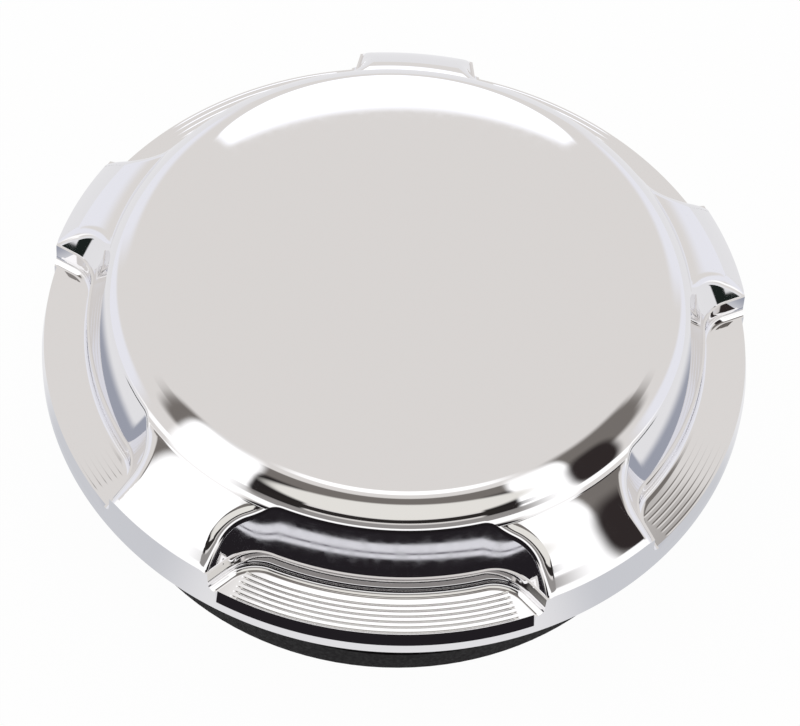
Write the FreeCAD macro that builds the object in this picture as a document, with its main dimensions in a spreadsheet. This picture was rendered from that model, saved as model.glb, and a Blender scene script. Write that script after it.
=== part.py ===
import FreeCAD, Part
import math
import os
import Sketcher

doc = FreeCAD.newDocument("fuel_cap")

# Driving dimensions, in millimetres, degrees and counts
SIZES = (
    # Chromed shell, seen from outside
    ("rim_radius", 42.0, "outer radius at the lower edge of the rim"),
    ("band_taper", 0.4, "how much narrower the upright band is at its top than at the rim"),
    ("band_height", 6.4, "height of the upright band on the lobes"),
    ("foot_drop", 14.7, "how far the plug reaches below the rim"),
    ("shell_height", 14.6, "rim to the top of the button"),
    ("button_wall", 2.3, "wall between the bore and the crease round the button"),
    ("button_foot_height", 11.0, "height of that crease above the rim"),
    ("shoulder_width", 5.0, "from the crease in to where the crowned top starts"),
    ("crown_drop", 0.8, "how far the crowned top falls to the shoulder"),
    ("lobe_face_radius", 15.6, "radius of the arc down each lobe face"),
    ("pocket_count", 5, "number of finger pockets"),
    ("pocket_floor_height", 3.5, "height of the pocket floors above the rim"),
    ("ledge_height", 6.2, "height of the step in the pocket wall above the rim"),
    ("pocket_wall", 4.25, "wall between the bore and the inner pocket wall at the step"),
    ("pocket_half_angle", 26.5, "half width of a pocket at the rim"),
    ("pocket_flare", 45.0, "angle of a side wall to the pocket's centre line"),
    ("pocket_corner_radius", 5.0, "inner corner radius of a pocket at the step"),
    ("ledge_width", 0.25, "width of the step in the pocket wall"),
    ("pocket_lower_draft", 4.0, "draft of the wall below the step"),
    ("pocket_upper_draft", 24.0, "draft of the wall above the step"),
    ("pocket_roll_radius", 2.2, "rounding over the top edge of a pocket"),
    ("pocket_floor_fillet", 0.9, "fillet between the pocket floor and wall"),
    ("turning_allowance", 1.5, "stock left outside the rim while the pockets are cut"),
    # Chromed shell, underside
    ("rim_wall", 2.1, "wall of the rim round the shallow recess over the plug flange"),
    ("flange_recess_depth", 1.6, "depth of that recess above the rim"),
    ("recess_width", 8.1, "width of that recess, in to the bore that holds the ratchet"),
    ("top_wall", 3.5, "wall between that bore and the crown's edge"),
    ("snap_groove_depth", 1.4, "depth of the groove for the snap ring"),
    ("snap_groove_height", 2.3, "lower side of that groove above the rim"),
    ("snap_groove_width", 1.3, "width of that groove"),
    # Black plug
    ("gasket_width", 2.7, "width of the sealing gasket between skirt and flange edge"),
    ("skirt_wall", 2.8, "wall of the skirt"),
    ("skirt_edge", 0.8, "bevel round the foot of the skirt"),
    ("thread_depth", 1.4, "how far the thread stands out from the skirt"),
    ("thread_bottom", 6.6, "height of the lowest thread above the foot"),
    ("thread_top", 10.7, "height of the highest thread above the foot"),
    ("flange_clearance", 0.3, "gap between flange and shell"),
    ("flange_edge_clearance", 0.6, "gap round the flange in its recess"),
    ("flange_thickness", 2.5, "thickness of the flange"),
    ("neck_depth", 2.6, "how much narrower the neck inside the snap ring is than the bore"),
    ("hub_clearance", 0.4, "gap between the hub's rim and the shell's bore"),
    ("hub_thickness", 1.7, "thickness of the hub's rim"),
    ("neck_wall", 2.7, "wall of the neck"),
    ("deck_thickness", 2.8, "thickness of the deck across the hub"),
    ("rib_count", 8, "number of ribs inside the skirt"),
    ("rib_thickness", 1.6, "thickness of a rib"),
    ("rib_depth", 7.5, "how far the ribs reach down the skirt"),
    ("gasket_thickness", 1.9, "thickness of the sealing gasket"),
    ("gasket_fit", 0.1, "gap between the gasket and the skirt"),
    # Ratchet
    ("snap_ring_thickness", 1.1, "thickness of the snap ring"),
    ("snap_ring_clearance", 0.1, "gap between the snap ring and its groove"),
    ("neck_clearance", 0.4, "gap between the snap ring and the neck"),
    ("snap_ring_gap", 4.0, "opening of the split snap ring"),
    ("ratchet_clearance", 0.05, "gap between the ratchet ring and the shell's bore"),
    ("wave_thickness", 0.3, "thickness of the wave washer"),
    ("wave_height", 0.5, "free height of its waves"),
    ("wave_clearance", 0.1, "gap between the wave washer and the hub"),
    ("wave_step", 0.2, "how much wider than the neck the wave washer is inside"),
    ("wave_width", 1.8, "radial width of the wave washer"),
    ("wave_count", 3, "waves round that washer"),
    ("teeth_per_pawl", 8, "ratchet teeth from one pawl to the next"),
    ("ratchet_wall", 2.75, "wall of the ratchet ring behind its teeth"),
    ("tooth_depth", 1.4, "depth of a tooth"),
    ("key_radius", 1.0, "radius of the keys between ratchet ring and shell"),
    ("key_count", 3, "number of those keys"),
        ("pawl_hub_width", 3.0, "radial width of the pawl ring's hub"),
    ("pawl_hub_gap", 3.1, "gap between that hub and the pawl arms"),
    ("pawl_top_gap", 1.6, "gap between the pawl ring and the shell"),
    ("pawl_count", 3, "number of sprung pawl arms"),
    ("pawl_arm_gap", 2.5, "gap between a pawl arm and the tooth tips"),
    ("pawl_arm_width", 1.5, "width of a pawl arm"),
    ("pawl_arm_sweep", 78.0, "angle that a pawl arm runs round"),
    ("pawl_clearance", 0.3, "gap between a pawl's tip and the tooth it sits in"),
    ("pawl_tip_sweep", 14.0, "angle that the wedge at a pawl's tip takes"),
    ("pawl_root_sweep", 12.0, "angle that the root of a pawl arm takes"),
    ("pawl_lift", 0.2, "gap under the pawl arms, from the ratchet's lower side"),
    ("lug_depth", 1.2, "depth of the lugs that key the pawl ring to the deck"),
    ("lug_size", 3.0, "side of those lugs"),
    ("lug_clearance", 0.1, "gap round the lugs and the keys in their seats"),
    # Valve
    ("housing_radius", 11.0, "outer radius of the valve housing"),
    ("housing_bore_radius", 8.4, "radius of the valve chamber"),
    ("housing_clearance", 0.15, "gap between the housing and the deck's bore"),
    ("housing_flange_radius", 17.2, "radius of the housing's flange"),
    ("housing_flange_thickness", 2.2, "thickness of the housing's flange"),
    ("housing_drop", 2.2, "how far the housing reaches below its flange"),
    ("housing_floor", 2.0, "thickness of the chamber's floor"),
    ("cover_seat_width", 0.8, "width of the shoulder that the valve cover rests on"),
    ("housing_foot_radius", 10.4, "radius of the housing below its flange"),
    ("filter_gap", 0.3, "gap between the felt filter and the shell"),
    ("inlet_radius", 4.2, "radius of the inlet in the chamber's floor"),
    ("seat_radius", 6.0, "mean radius of the raised valve seat"),
    ("seat_width", 0.8, "width of the valve seat"),
    ("seat_height", 0.8, "height of the valve seat"),
    ("ring_section", 1.4, "thickness of the round seal in the housing's groove"),
    ("ring_groove_width", 1.7, "width of that groove"),
    ("valve_screw_count", 3, "screws through the housing's flange"),
    ("valve_screw_circle", 14.2, "radius of the circle of those screws"),
    ("valve_screw_radius", 1.4, "radius of a screw's shank"),
    ("valve_screw_head_radius", 2.6, "radius of a screw's head"),
    ("valve_screw_head_height", 1.6, "height of a screw's head"),
    ("valve_screw_grip", 2.0, "how far a screw reaches into the deck"),
    ("valve_screw_clearance", 0.3, "gap round a screw in the housing's flange"),
    ("valve_screw_tip_gap", 0.3, "depth left over a screw's end in the deck"),
    ("guard_depth", 3.4, "height of the splash guard"),
    ("guard_wall", 1.0, "wall of the splash guard"),
    ("guard_window_count", 4, "windows round the splash guard"),
    ("guard_window_width", 5.0, "width of a window"),
    ("guard_fit", 0.05, "gap between the splash guard and its spigot"),
    ("spigot_radius", 8.4, "outer radius of the spigot that holds the splash guard"),
    ("spigot_wall", 1.0, "wall of that spigot"),
    ("spigot_height", 1.0, "height of that spigot"),
    ("plate_gap", 0.6, "gap round the pressure plate"),
    ("plate_thickness", 1.2, "thickness of the pressure plate"),
    ("pressure_seal_thickness", 0.8, "thickness of the pressure seal"),
    ("pressure_seal_width", 5.4, "radial width of the pressure seal"),
    ("pressure_seal_edge", 1.4, "how far the pressure seal reaches past the middle of its seat"),
    ("pressure_spring_radius", 5.2, "mean radius of the pressure spring"),
    ("pressure_wire_radius", 0.35, "wire radius of the pressure spring"),
    ("pressure_turns", 3, "turns of the pressure spring"),
    ("collar_radius", 4.2, "outer radius of the collar inside the pressure spring"),
    ("collar_wall", 1.0, "wall of that collar"),
    ("collar_height", 0.8, "height of that collar"),
    ("cover_thickness", 1.4, "thickness of the valve cover"),
    ("cover_hole_count", 6, "vent holes in the valve cover"),
    ("cover_fit", 0.05, "gap round the valve cover"),
    ("cover_hole_radius", 0.9, "radius of a vent hole"),
    ("cover_hole_circle", 3.2, "radius of the circle of vent holes"),
    ("filter_thickness", 0.8, "thickness of the felt filter"),
    ("filter_radius", 8.2, "radius of the felt filter"),
    ("stem_radius", 1.0, "radius of the vacuum valve's stem"),
    ("stem_clearance", 0.5, "gap between the stem and the plate's port"),
    ("vacuum_head_radius", 3.6, "radius of the vacuum valve's head"),
    ("vacuum_head_thickness", 1.0, "thickness of the vacuum valve's head"),
    ("vacuum_spring_radius", 1.9, "mean radius of the vacuum spring"),
    ("vacuum_wire_radius", 0.15, "wire radius of the vacuum spring"),
    ("vacuum_turns", 2.5, "turns of the vacuum spring"),
    ("vacuum_spring_length", 2.2, "fitted length of the vacuum spring"),
    ("clip_thickness", 0.3, "thickness of the clip on the stem"),
    ("clip_radius", 2.5, "outer radius of that clip"),
    ("clip_groove_depth", 0.25, "depth of the clip's groove in the stem"),
    ("clip_opening", 1.3, "opening at the side of the clip"),
    ("stem_end", 0.3, "stem left above the clip"),
)

sheet = doc.addObject("Spreadsheet::Sheet", "sizes")
for row, (alias, amount, meaning) in enumerate(SIZES, start=1):
    sheet.set("A%d" % row, meaning)
    sheet.set("B%d" % row, str(amount))
    sheet.setAlias("B%d" % row, alias)
doc.recompute()


def size(name):
    """Expression that reads one driving dimension."""
    return "sizes." + name


def amount_of(expression):
    """Present value of an expression over the driving dimensions."""
    result = sheet.evalExpression(expression)
    return float(getattr(result, "Value", result))


def plus(*terms):
    return " + ".join("(%s)" % term for term in terms)


def minus(first, *rest):
    return "(%s)" % first + "".join(" - (%s)" % term for term in rest)


def times(*factors):
    return " * ".join("(%s)" % factor for factor in factors)


def half(term):
    return "0.5 * (%s)" % term


# Heights above the foot of the plug, which is z = 0
RIM = size("foot_drop")
BAND_TOP = plus(RIM, size("band_height"))
SHELL_TOP = plus(RIM, size("shell_height"))
CROWN_EDGE = minus(SHELL_TOP, size("crown_drop"))
BUTTON_FOOT = plus(RIM, size("button_foot_height"))
POCKET_FLOOR = plus(RIM, size("pocket_floor_height"))
LEDGE = plus(RIM, size("ledge_height"))
RECESS_TOP = plus(RIM, size("flange_recess_depth"))
BORE_TOP = minus(CROWN_EDGE, size("top_wall"))
GROOVE_BOTTOM = plus(RIM, size("snap_groove_height"))
GROOVE_TOP = plus(GROOVE_BOTTOM, size("snap_groove_width"))
FLANGE_TOP = minus(RECESS_TOP, size("flange_clearance"))
FLANGE_BOTTOM = minus(FLANGE_TOP, size("flange_thickness"))
HUB_BOTTOM = plus(GROOVE_TOP, size("snap_ring_clearance"), size("snap_ring_clearance"))
DECK_TOP = plus(HUB_BOTTOM, size("hub_thickness"))
DECK_BOTTOM = minus(DECK_TOP, size("deck_thickness"))
RATCHET_BOTTOM = plus(DECK_TOP, size("wave_clearance"), size("wave_thickness"), size("wave_height"))
HOUSING_FLANGE_BOTTOM = minus(DECK_BOTTOM, size("housing_flange_thickness"))
HOUSING_BOTTOM = minus(HOUSING_FLANGE_BOTTOM, size("housing_drop"))
CHAMBER_FLOOR = plus(HOUSING_BOTTOM, size("housing_floor"))
HOUSING_TOP = minus(BORE_TOP, size("filter_gap"), size("filter_thickness"))
SEAT_TOP = plus(CHAMBER_FLOOR, size("seat_height"))
PLATE_BOTTOM = plus(SEAT_TOP, size("pressure_seal_thickness"))
PLATE_TOP = plus(PLATE_BOTTOM, size("plate_thickness"))
COVER_BOTTOM = minus(HOUSING_TOP, size("cover_thickness"))
CLIP_BOTTOM = plus(PLATE_TOP, size("vacuum_spring_length"))
CLIP_TOP = plus(CLIP_BOTTOM, size("clip_thickness"))

# Radii that follow from others, from the rim inwards
BAND_TOP_RADIUS = minus(size("rim_radius"), size("band_taper"))
RECESS_RADIUS = minus(size("rim_radius"), size("rim_wall"))
BORE_RADIUS = minus(RECESS_RADIUS, size("recess_width"))
GROOVE_RADIUS = plus(BORE_RADIUS, size("snap_groove_depth"))
BUTTON_RADIUS = plus(BORE_RADIUS, size("button_wall"))
CROWN_RADIUS = minus(BUTTON_RADIUS, size("shoulder_width"))
POCKET_WALL_RADIUS = plus(BORE_RADIUS, size("pocket_wall"))
FLANGE_RADIUS = minus(RECESS_RADIUS, size("flange_edge_clearance"))
GASKET_INNER = minus(FLANGE_RADIUS, size("gasket_width"))
SKIRT_RADIUS = minus(GASKET_INNER, size("gasket_fit"))
SKIRT_INNER = minus(SKIRT_RADIUS, size("skirt_wall"))
THREAD_RADIUS = plus(SKIRT_RADIUS, size("thread_depth"))
HUB_RADIUS = minus(BORE_RADIUS, size("hub_clearance"))
NECK_RADIUS = minus(BORE_RADIUS, size("neck_depth"))
HUB_HOLLOW = minus(NECK_RADIUS, size("neck_wall"))
DECK_BORE = plus(size("housing_radius"), size("housing_clearance"))
SNAP_INNER = plus(NECK_RADIUS, size("neck_clearance"))
SNAP_OUTER = minus(GROOVE_RADIUS, size("snap_ring_clearance"))
RATCHET_RADIUS = minus(BORE_RADIUS, size("ratchet_clearance"))
TOOTH_ROOT = minus(RATCHET_RADIUS, size("ratchet_wall"))
TOOTH_TIP = minus(TOOTH_ROOT, size("tooth_depth"))
ARM_OUTER = minus(TOOTH_TIP, size("pawl_arm_gap"))
ARM_INNER = minus(ARM_OUTER, size("pawl_arm_width"))
PLATE_RADIUS = minus(size("housing_bore_radius"), size("plate_gap"))
PORT_RADIUS = plus(size("stem_radius"), size("stem_clearance"))
RING_GROOVE_RADIUS = minus(DECK_BORE, size("ring_section"))
SPIGOT_INNER = minus(size("spigot_radius"), size("spigot_wall"))
COVER_SEAT = plus(size("housing_bore_radius"), size("cover_seat_width"))
TOOTH_COUNT = times(size("pawl_count"), size("teeth_per_pawl"))
PAWL_HUB_OUTER = minus(ARM_INNER, size("pawl_hub_gap"))
PAWL_HUB_INNER = minus(PAWL_HUB_OUTER, size("pawl_hub_width"))

parts = []


def origin_feature(body, role):
    for feature in body.Origin.OriginFeatures:
        if feature.Role == role:
            return feature
    raise ValueError("no origin feature " + role)


def new_body(label):
    body = doc.addObject("PartDesign::Body", label)
    body.Label = label
    return body


def arc_edge(start, end, radius, bend):
    """Arc from start to end; bend is +1 when it turns left on the way, -1 when right."""
    chord = end - start
    half = chord.Length / 2
    radius = max(radius, half)
    rise = math.sqrt(radius * radius - half * half)
    side = FreeCAD.Vector(-chord.y, chord.x, 0).normalize()
    centre = (start + end) / 2 + side * (rise * bend)
    first, last = (start, end) if bend > 0 else (end, start)
    turn = [math.atan2(point.y - centre.y, point.x - centre.x) for point in (first, last)]
    circle = Part.Circle(centre, FreeCAD.Vector(0, 0, 1), radius)
    return Part.ArcOfCircle(circle, turn[0], turn[1])


def draw(body, name, plane, corners, height=None):
    """Closed outline whose corners are pairs of expressions.

    A corner may also hold the radius of the arc to the next corner and the side
    it bends to. Every corner is tied to the sheet by its distances from the origin.
    """
    sketch = body.newObject("Sketcher::SketchObject", name)
    sketch.AttachmentSupport = [(origin_feature(body, plane), "")]
    sketch.MapMode = "FlatFace"
    if height is not None:
        sketch.setExpression("AttachmentOffset.Base.z", height)
    points = [FreeCAD.Vector(amount_of(c[0]), amount_of(c[1]), 0) for c in corners]
    ends = []
    for index, corner in enumerate(corners):
        start, end = points[index], points[(index + 1) % len(points)]
        if len(corner) > 2:
            edge = arc_edge(start, end, amount_of(corner[2]), corner[3])
            ends.append((sketch.addGeometry(edge), 1 if corner[3] > 0 else 2))
        else:
            ends.append((sketch.addGeometry(Part.LineSegment(start, end)), 1))
    for index, (edge, start_end) in enumerate(ends):
        next_edge, next_start = ends[(index + 1) % len(ends)]
        sketch.addConstraint(Sketcher.Constraint("Coincident", edge, 3 - start_end, next_edge, next_start))
    for index, corner in enumerate(corners):
        edge, start_end = ends[index]
        for axis, kind, on_axis in ((0, "DistanceX", -2), (1, "DistanceY", -1)):
            value = points[index][axis]
            if corner[axis] == "0":
                sketch.addConstraint(Sketcher.Constraint("PointOnObject", edge, start_end, on_axis))
                continue
            held = sketch.addConstraint(Sketcher.Constraint(kind, -1, 1, edge, start_end, value))
            sketch.setExpression("Constraints[%d]" % held, corner[axis])
        if len(corner) > 2:
            value = amount_of(corner[2])
            held = sketch.addConstraint(Sketcher.Constraint("Radius", edge, value))
            sketch.setExpression("Constraints[%d]" % held, corner[2])
    return sketch


def revolve(body, sketch, name):
    turned = body.newObject("PartDesign::Revolution", name)
    turned.Profile = sketch
    turned.ReferenceAxis = (sketch, ["V_Axis"])
    turned.Angle = 360
    sketch.Visibility = False
    return turned


def turned_part(label, corners):
    """Body of revolution about Z, from corners given as radius and height."""
    body = new_body(label)
    revolve(body, draw(body, label + "_section", "XZ_Plane", corners), label + "_turned")
    parts.append(body)
    return body


def box_corners(inner, outer, bottom, top):
    return [(inner, bottom), (outer, bottom), (outer, top), (inner, top)]


def pattern(body, features, count, name):
    """Repeat features round Z and make the result the body's tip."""
    repeated = body.newObject("PartDesign::PolarPattern", name)
    repeated.Originals = features
    repeated.Axis = (origin_feature(body, "Z_Axis"), [""])
    repeated.Angle = 360
    repeated.setExpression("Occurrences", count)
    body.Tip = repeated
    return repeated


def cut_through(body, sketch, name, length, upward):
    """Pocket of a given length that is checked to take material away."""
    doc.recompute()
    before = body.Shape.Volume
    cut = body.newObject("PartDesign::Pocket", name)
    cut.Profile = sketch
    cut.setExpression("Length", length)
    cut.Reversed = upward
    doc.recompute()
    if cut.Shape.Volume > before - 0.01:
        raise RuntimeError(name + " removes nothing")
    return cut


def polar(radius, angle):
    """Corner at a radius and an angle in degrees, both expressions."""
    return (times(radius, "cos(%s)" % angle), times(radius, "sin(%s)" % angle))


def pocket_outline(inset):
    """Plan of the pocket in front (towards -Y), grown by an inset into the shell.

    An arc about the cap's centre runs into two flared side walls through round
    corners, and the outline ends beyond the rim.
    """
    reach = size("rim_radius")
    flare = size("pocket_flare")
    wall = minus(POCKET_WALL_RADIUS, inset)
    corner = plus(size("pocket_corner_radius"), inset)
    offset = times(reach, "sin(%s)" % minus(flare, size("pocket_half_angle")))
    line = minus(offset, inset)
    centre_out = plus(wall, corner)
    centre_off = plus(line, corner)
    along = "sqrt((%s)^2 - (%s)^2)" % (centre_out, centre_off)
    outside = plus(STOCK_RADIUS, size("turning_allowance"))
    beyond = "sqrt((%s)^2 - (%s)^2)" % (outside, line)

    def place(off, run):
        across = minus(times(run, "sin(%s)" % flare), times(off, "cos(%s)" % flare))
        out = plus(times(off, "sin(%s)" % flare), times(run, "cos(%s)" % flare))
        return across, out

    centre = place(centre_off, along)
    share = "(%s) / (%s)" % (wall, centre_out)
    inner = (times(centre[0], share), times(centre[1], share))
    joint = place(line, along)
    end = place(line, beyond)

    def at(point, side, *arc):
        return (times(point[0], side), times(point[1], "-1")) + arc

    return [
        at(inner, "-1", wall, 1),
        at(inner, "1", corner, -1),
        at(joint, "1"),
        at(end, "1", outside, -1),
        at(end, "-1"),
        at(joint, "-1", corner, -1),
    ]


def loft_cut(body, lower, upper, name):
    before = body.Shape.Volume
    cut = body.newObject("PartDesign::SubtractiveLoft", name)
    cut.Profile = lower
    cut.Sections = [upper]
    cut.Ruled = True
    doc.recompute()
    if cut.Shape.Volume > before - 1:
        raise RuntimeError(name + " removes nothing")
    return cut



def circle_sketch(body, name, across, along, radius, height):
    """Circle on a level plane at a height, tied to the sheet."""
    sketch = body.newObject("Sketcher::SketchObject", name)
    sketch.AttachmentSupport = [(origin_feature(body, "XY_Plane"), "")]
    sketch.MapMode = "FlatFace"
    sketch.setExpression("AttachmentOffset.Base.z", height)
    centre = FreeCAD.Vector(amount_of(across), amount_of(along), 0)
    circle = Part.Circle(centre, FreeCAD.Vector(0, 0, 1), amount_of(radius))
    edge = sketch.addGeometry(circle)
    for expression, kind, on_axis, value in (
        (across, "DistanceX", -2, centre.x),
        (along, "DistanceY", -1, centre.y),
    ):
        if expression == "0":
            sketch.addConstraint(Sketcher.Constraint("PointOnObject", edge, 3, on_axis))
            continue
        held = sketch.addConstraint(Sketcher.Constraint(kind, -1, 1, edge, 3, value))
        sketch.setExpression("Constraints[%d]" % held, expression)
    held = sketch.addConstraint(Sketcher.Constraint("Radius", edge, circle.Radius))
    sketch.setExpression("Constraints[%d]" % held, radius)
    return sketch


def pad(body, sketch, name, length, downward=False, both_sides=False):
    raised = body.newObject("PartDesign::Pad", name)
    raised.Profile = sketch
    raised.setExpression("Length", length)
    raised.Reversed = downward
    raised.Midplane = both_sides
    sketch.Visibility = False
    return raised


def groove(body, sketch, name):
    """Turned cut that is checked to take material away."""
    doc.recompute()
    before = body.Shape.Volume
    cut = body.newObject("PartDesign::Groove", name)
    cut.Profile = sketch
    cut.ReferenceAxis = (sketch, ["V_Axis"])
    cut.Angle = 360
    doc.recompute()
    if cut.Shape.Volume > before - 0.01:
        raise RuntimeError(name + " removes nothing")
    return cut


def fillet(body, name, radius, chosen):
    """Rounds the edges of the body's present shape that the test picks."""
    doc.recompute()
    base = body.Tip
    names = ["Edge%d" % number for number, edge in enumerate(base.Shape.Edges, 1) if chosen(edge)]
    if not names:
        raise RuntimeError(name + " finds no edge")
    rounding = body.newObject("PartDesign::Fillet", name)
    rounding.Base = (base, names)
    rounding.setExpression("Radius", radius)
    doc.recompute()
    return rounding


def edge_points(edge):
    """Radius and height of both ends and the middle of an edge."""
    places = []
    for share in (0.0, 0.5, 1.0):
        parameter = edge.FirstParameter + share * (edge.LastParameter - edge.FirstParameter)
        point = edge.valueAt(parameter)
        places.append((math.hypot(point.x, point.y), point.z))
    return places


# The chromed shell
# The lobe faces are an arc about a level circle; it is carried on past the rim,
# so that the pockets and their rounded edges are cut before the rim is turned.
LOBE_RUN = minus(BAND_TOP_RADIUS, BUTTON_RADIUS)
LOBE_RISE = minus(BUTTON_FOOT, BAND_TOP)
LOBE_CHORD = "sqrt((%s)^2 + (%s)^2)" % (LOBE_RUN, LOBE_RISE)
LOBE_REACH = "sqrt((%s)^2 - (%s)^2 / 4)" % (size("lobe_face_radius"), LOBE_CHORD)
LOBE_CENTRE = minus(
    half(plus(BAND_TOP_RADIUS, BUTTON_RADIUS)),
    "(%s) / (%s)" % (times(LOBE_REACH, LOBE_RISE), LOBE_CHORD),
)
LOBE_CENTRE_HEIGHT = minus(
    half(plus(BAND_TOP, BUTTON_FOOT)),
    "(%s) / (%s)" % (times(LOBE_REACH, LOBE_RUN), LOBE_CHORD),
)
LOBE_APEX = plus(LOBE_CENTRE_HEIGHT, size("lobe_face_radius"))
BLANK_RADIUS = half(plus(BAND_TOP_RADIUS, LOBE_CENTRE, size("lobe_face_radius")))
STOCK_RADIUS = plus("max(%s; %s)" % (BLANK_RADIUS, size("rim_radius")), size("turning_allowance"))
BLANK_EDGE = plus(
    LOBE_CENTRE_HEIGHT,
    "sqrt((%s)^2 - (%s)^2)" % (size("lobe_face_radius"), minus(BLANK_RADIUS, LOBE_CENTRE)),
)
BAND_SLOPE = "(%s) / (%s)" % (size("band_taper"), size("band_height"))
SHOULDER_RUN = minus(BUTTON_RADIUS, CROWN_RADIUS)
SHOULDER_RISE = minus(CROWN_EDGE, BUTTON_FOOT)
SHOULDER_RADIUS = "sqrt((%s)^2 + (%s)^2) / 2 / sin(atan((%s) / (%s)) - 2 * atan((%s) / (%s)))" % (
    SHOULDER_RUN,
    SHOULDER_RISE,
    SHOULDER_RISE,
    SHOULDER_RUN,
    size("crown_drop"),
    CROWN_RADIUS,
)
CROWN_BALL_RADIUS = "((%s)^2 + (%s)^2) / 2 / (%s)" % (
    CROWN_RADIUS,
    size("crown_drop"),
    size("crown_drop"),
)


def on_lobe_face(edge):
    """True for an edge between a lobe face and a pocket wall."""
    middle, height = amount_of(LOBE_CENTRE), amount_of(LOBE_CENTRE_HEIGHT)
    ball, blank = amount_of(size("lobe_face_radius")), amount_of(BLANK_RADIUS)
    points = edge_points(edge)
    lies_on = all(abs(math.hypot(r - middle, z - height) - ball) < 0.01 for r, z in points)
    return lies_on and points[1][0] < blank - 0.01 and points[1][0] > middle + 0.01


def on_pocket_floor(edge):
    """True for an edge between a pocket floor and its wall."""
    level = amount_of(POCKET_FLOOR)
    rim = amount_of(BAND_TOP_RADIUS)
    points = edge_points(edge)
    return all(abs(z - level) < 0.001 for r, z in points) and points[1][0] < rim - 0.1


def pocket_pair(body, name, low, low_inset, high, high_inset):
    """Two outlines of the pocket in front, one above the other."""
    lower = draw(body, name + "_low", "XY_Plane", pocket_outline(low_inset), low)
    upper = draw(body, name + "_high", "XY_Plane", pocket_outline(high_inset), high)
    return lower, upper


shell = new_body("cap_shell")
revolve(
    shell,
    draw(shell, "lobes_section", "XZ_Plane", [
        ("0", RIM),
        (BLANK_RADIUS, RIM),
        (BLANK_RADIUS, BLANK_EDGE, size("lobe_face_radius"), 1),
        (LOBE_CENTRE, LOBE_APEX),
        ("0", LOBE_APEX),
    ]),
    "lobes",
)
UPPER_FLARE = "tan(%s)" % size("pocket_upper_draft")
LOWER_FLARE = "tan(%s)" % size("pocket_lower_draft")
upper_pair = pocket_pair(
    shell,
    "pocket_upper",
    minus(RIM, "1"),
    times(minus("-1", size("ledge_height")), UPPER_FLARE),
    plus(SHELL_TOP, "1"),
    times(minus(plus(SHELL_TOP, "1"), LEDGE), UPPER_FLARE),
)
doc.recompute()
upper_cut = loft_cut(shell, upper_pair[0], upper_pair[1], "pocket_upper")
pattern(shell, [upper_cut], size("pocket_count"), "pockets_upper")
fillet(shell, "pocket_roll", size("pocket_roll_radius"), on_lobe_face)
revolve(
    shell,
    draw(shell, "button_section", "XZ_Plane", [
        ("0", LEDGE),
        (BUTTON_RADIUS, LEDGE),
        (BUTTON_RADIUS, BUTTON_FOOT, SHOULDER_RADIUS, 1),
        (CROWN_RADIUS, CROWN_EDGE, CROWN_BALL_RADIUS, 1),
        ("0", SHELL_TOP),
    ]),
    "button",
)
doc.recompute()
button_cut = loft_cut(shell, upper_pair[0], upper_pair[1], "pocket_button")
pattern(shell, [button_cut], size("pocket_count"), "pockets_button")
revolve(
    shell,
    draw(shell, "rim_section", "XZ_Plane", box_corners("0", STOCK_RADIUS, RIM, LEDGE)),
    "rim_disc",
)
groove(
    shell,
    draw(shell, "band_section", "XZ_Plane", [
        (plus(size("rim_radius"), BAND_SLOPE), minus(RIM, "1")),
        (plus(STOCK_RADIUS, "1"), minus(RIM, "1")),
        (plus(STOCK_RADIUS, "1"), plus(BAND_TOP, "1")),
        (minus(BAND_TOP_RADIUS, BAND_SLOPE), plus(BAND_TOP, "1")),
    ]),
    "band",
)
lower_pair = pocket_pair(
    shell,
    "pocket_lower",
    POCKET_FLOOR,
    minus(times("-1", size("ledge_width")), times(minus(LEDGE, POCKET_FLOOR), LOWER_FLARE)),
    plus(LEDGE, "1"),
    plus(times("-1", size("ledge_width")), LOWER_FLARE),
)
doc.recompute()
lower_cut = loft_cut(shell, lower_pair[0], lower_pair[1], "pocket_lower")
pattern(shell, [lower_cut], size("pocket_count"), "pockets_lower")
fillet(shell, "pocket_floor_round", size("pocket_floor_fillet"), on_pocket_floor)
groove(
    shell,
    draw(shell, "bore_section", "XZ_Plane", [
        ("0", minus(RIM, "1")),
        (RECESS_RADIUS, minus(RIM, "1")),
        (RECESS_RADIUS, RECESS_TOP),
        (BORE_RADIUS, RECESS_TOP),
        (BORE_RADIUS, GROOVE_BOTTOM),
        (GROOVE_RADIUS, GROOVE_BOTTOM),
        (GROOVE_RADIUS, GROOVE_TOP),
        (BORE_RADIUS, GROOVE_TOP),
        (BORE_RADIUS, BORE_TOP),
        ("0", BORE_TOP),
    ]),
    "bore",
)
KEY_SEAT = plus(size("key_radius"), size("lug_clearance"))
key_sketch = circle_sketch(shell, "key_seat_outline", BORE_RADIUS, "0", KEY_SEAT, BORE_TOP)
NOTCH_LENGTH = minus(BORE_TOP, GROOVE_TOP, times("-0.5", size("snap_groove_width")))
key_cut = cut_through(shell, key_sketch, "key_seat", NOTCH_LENGTH, False)
pattern(shell, [key_cut], size("key_count"), "key_seats")
parts.append(shell)

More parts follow.
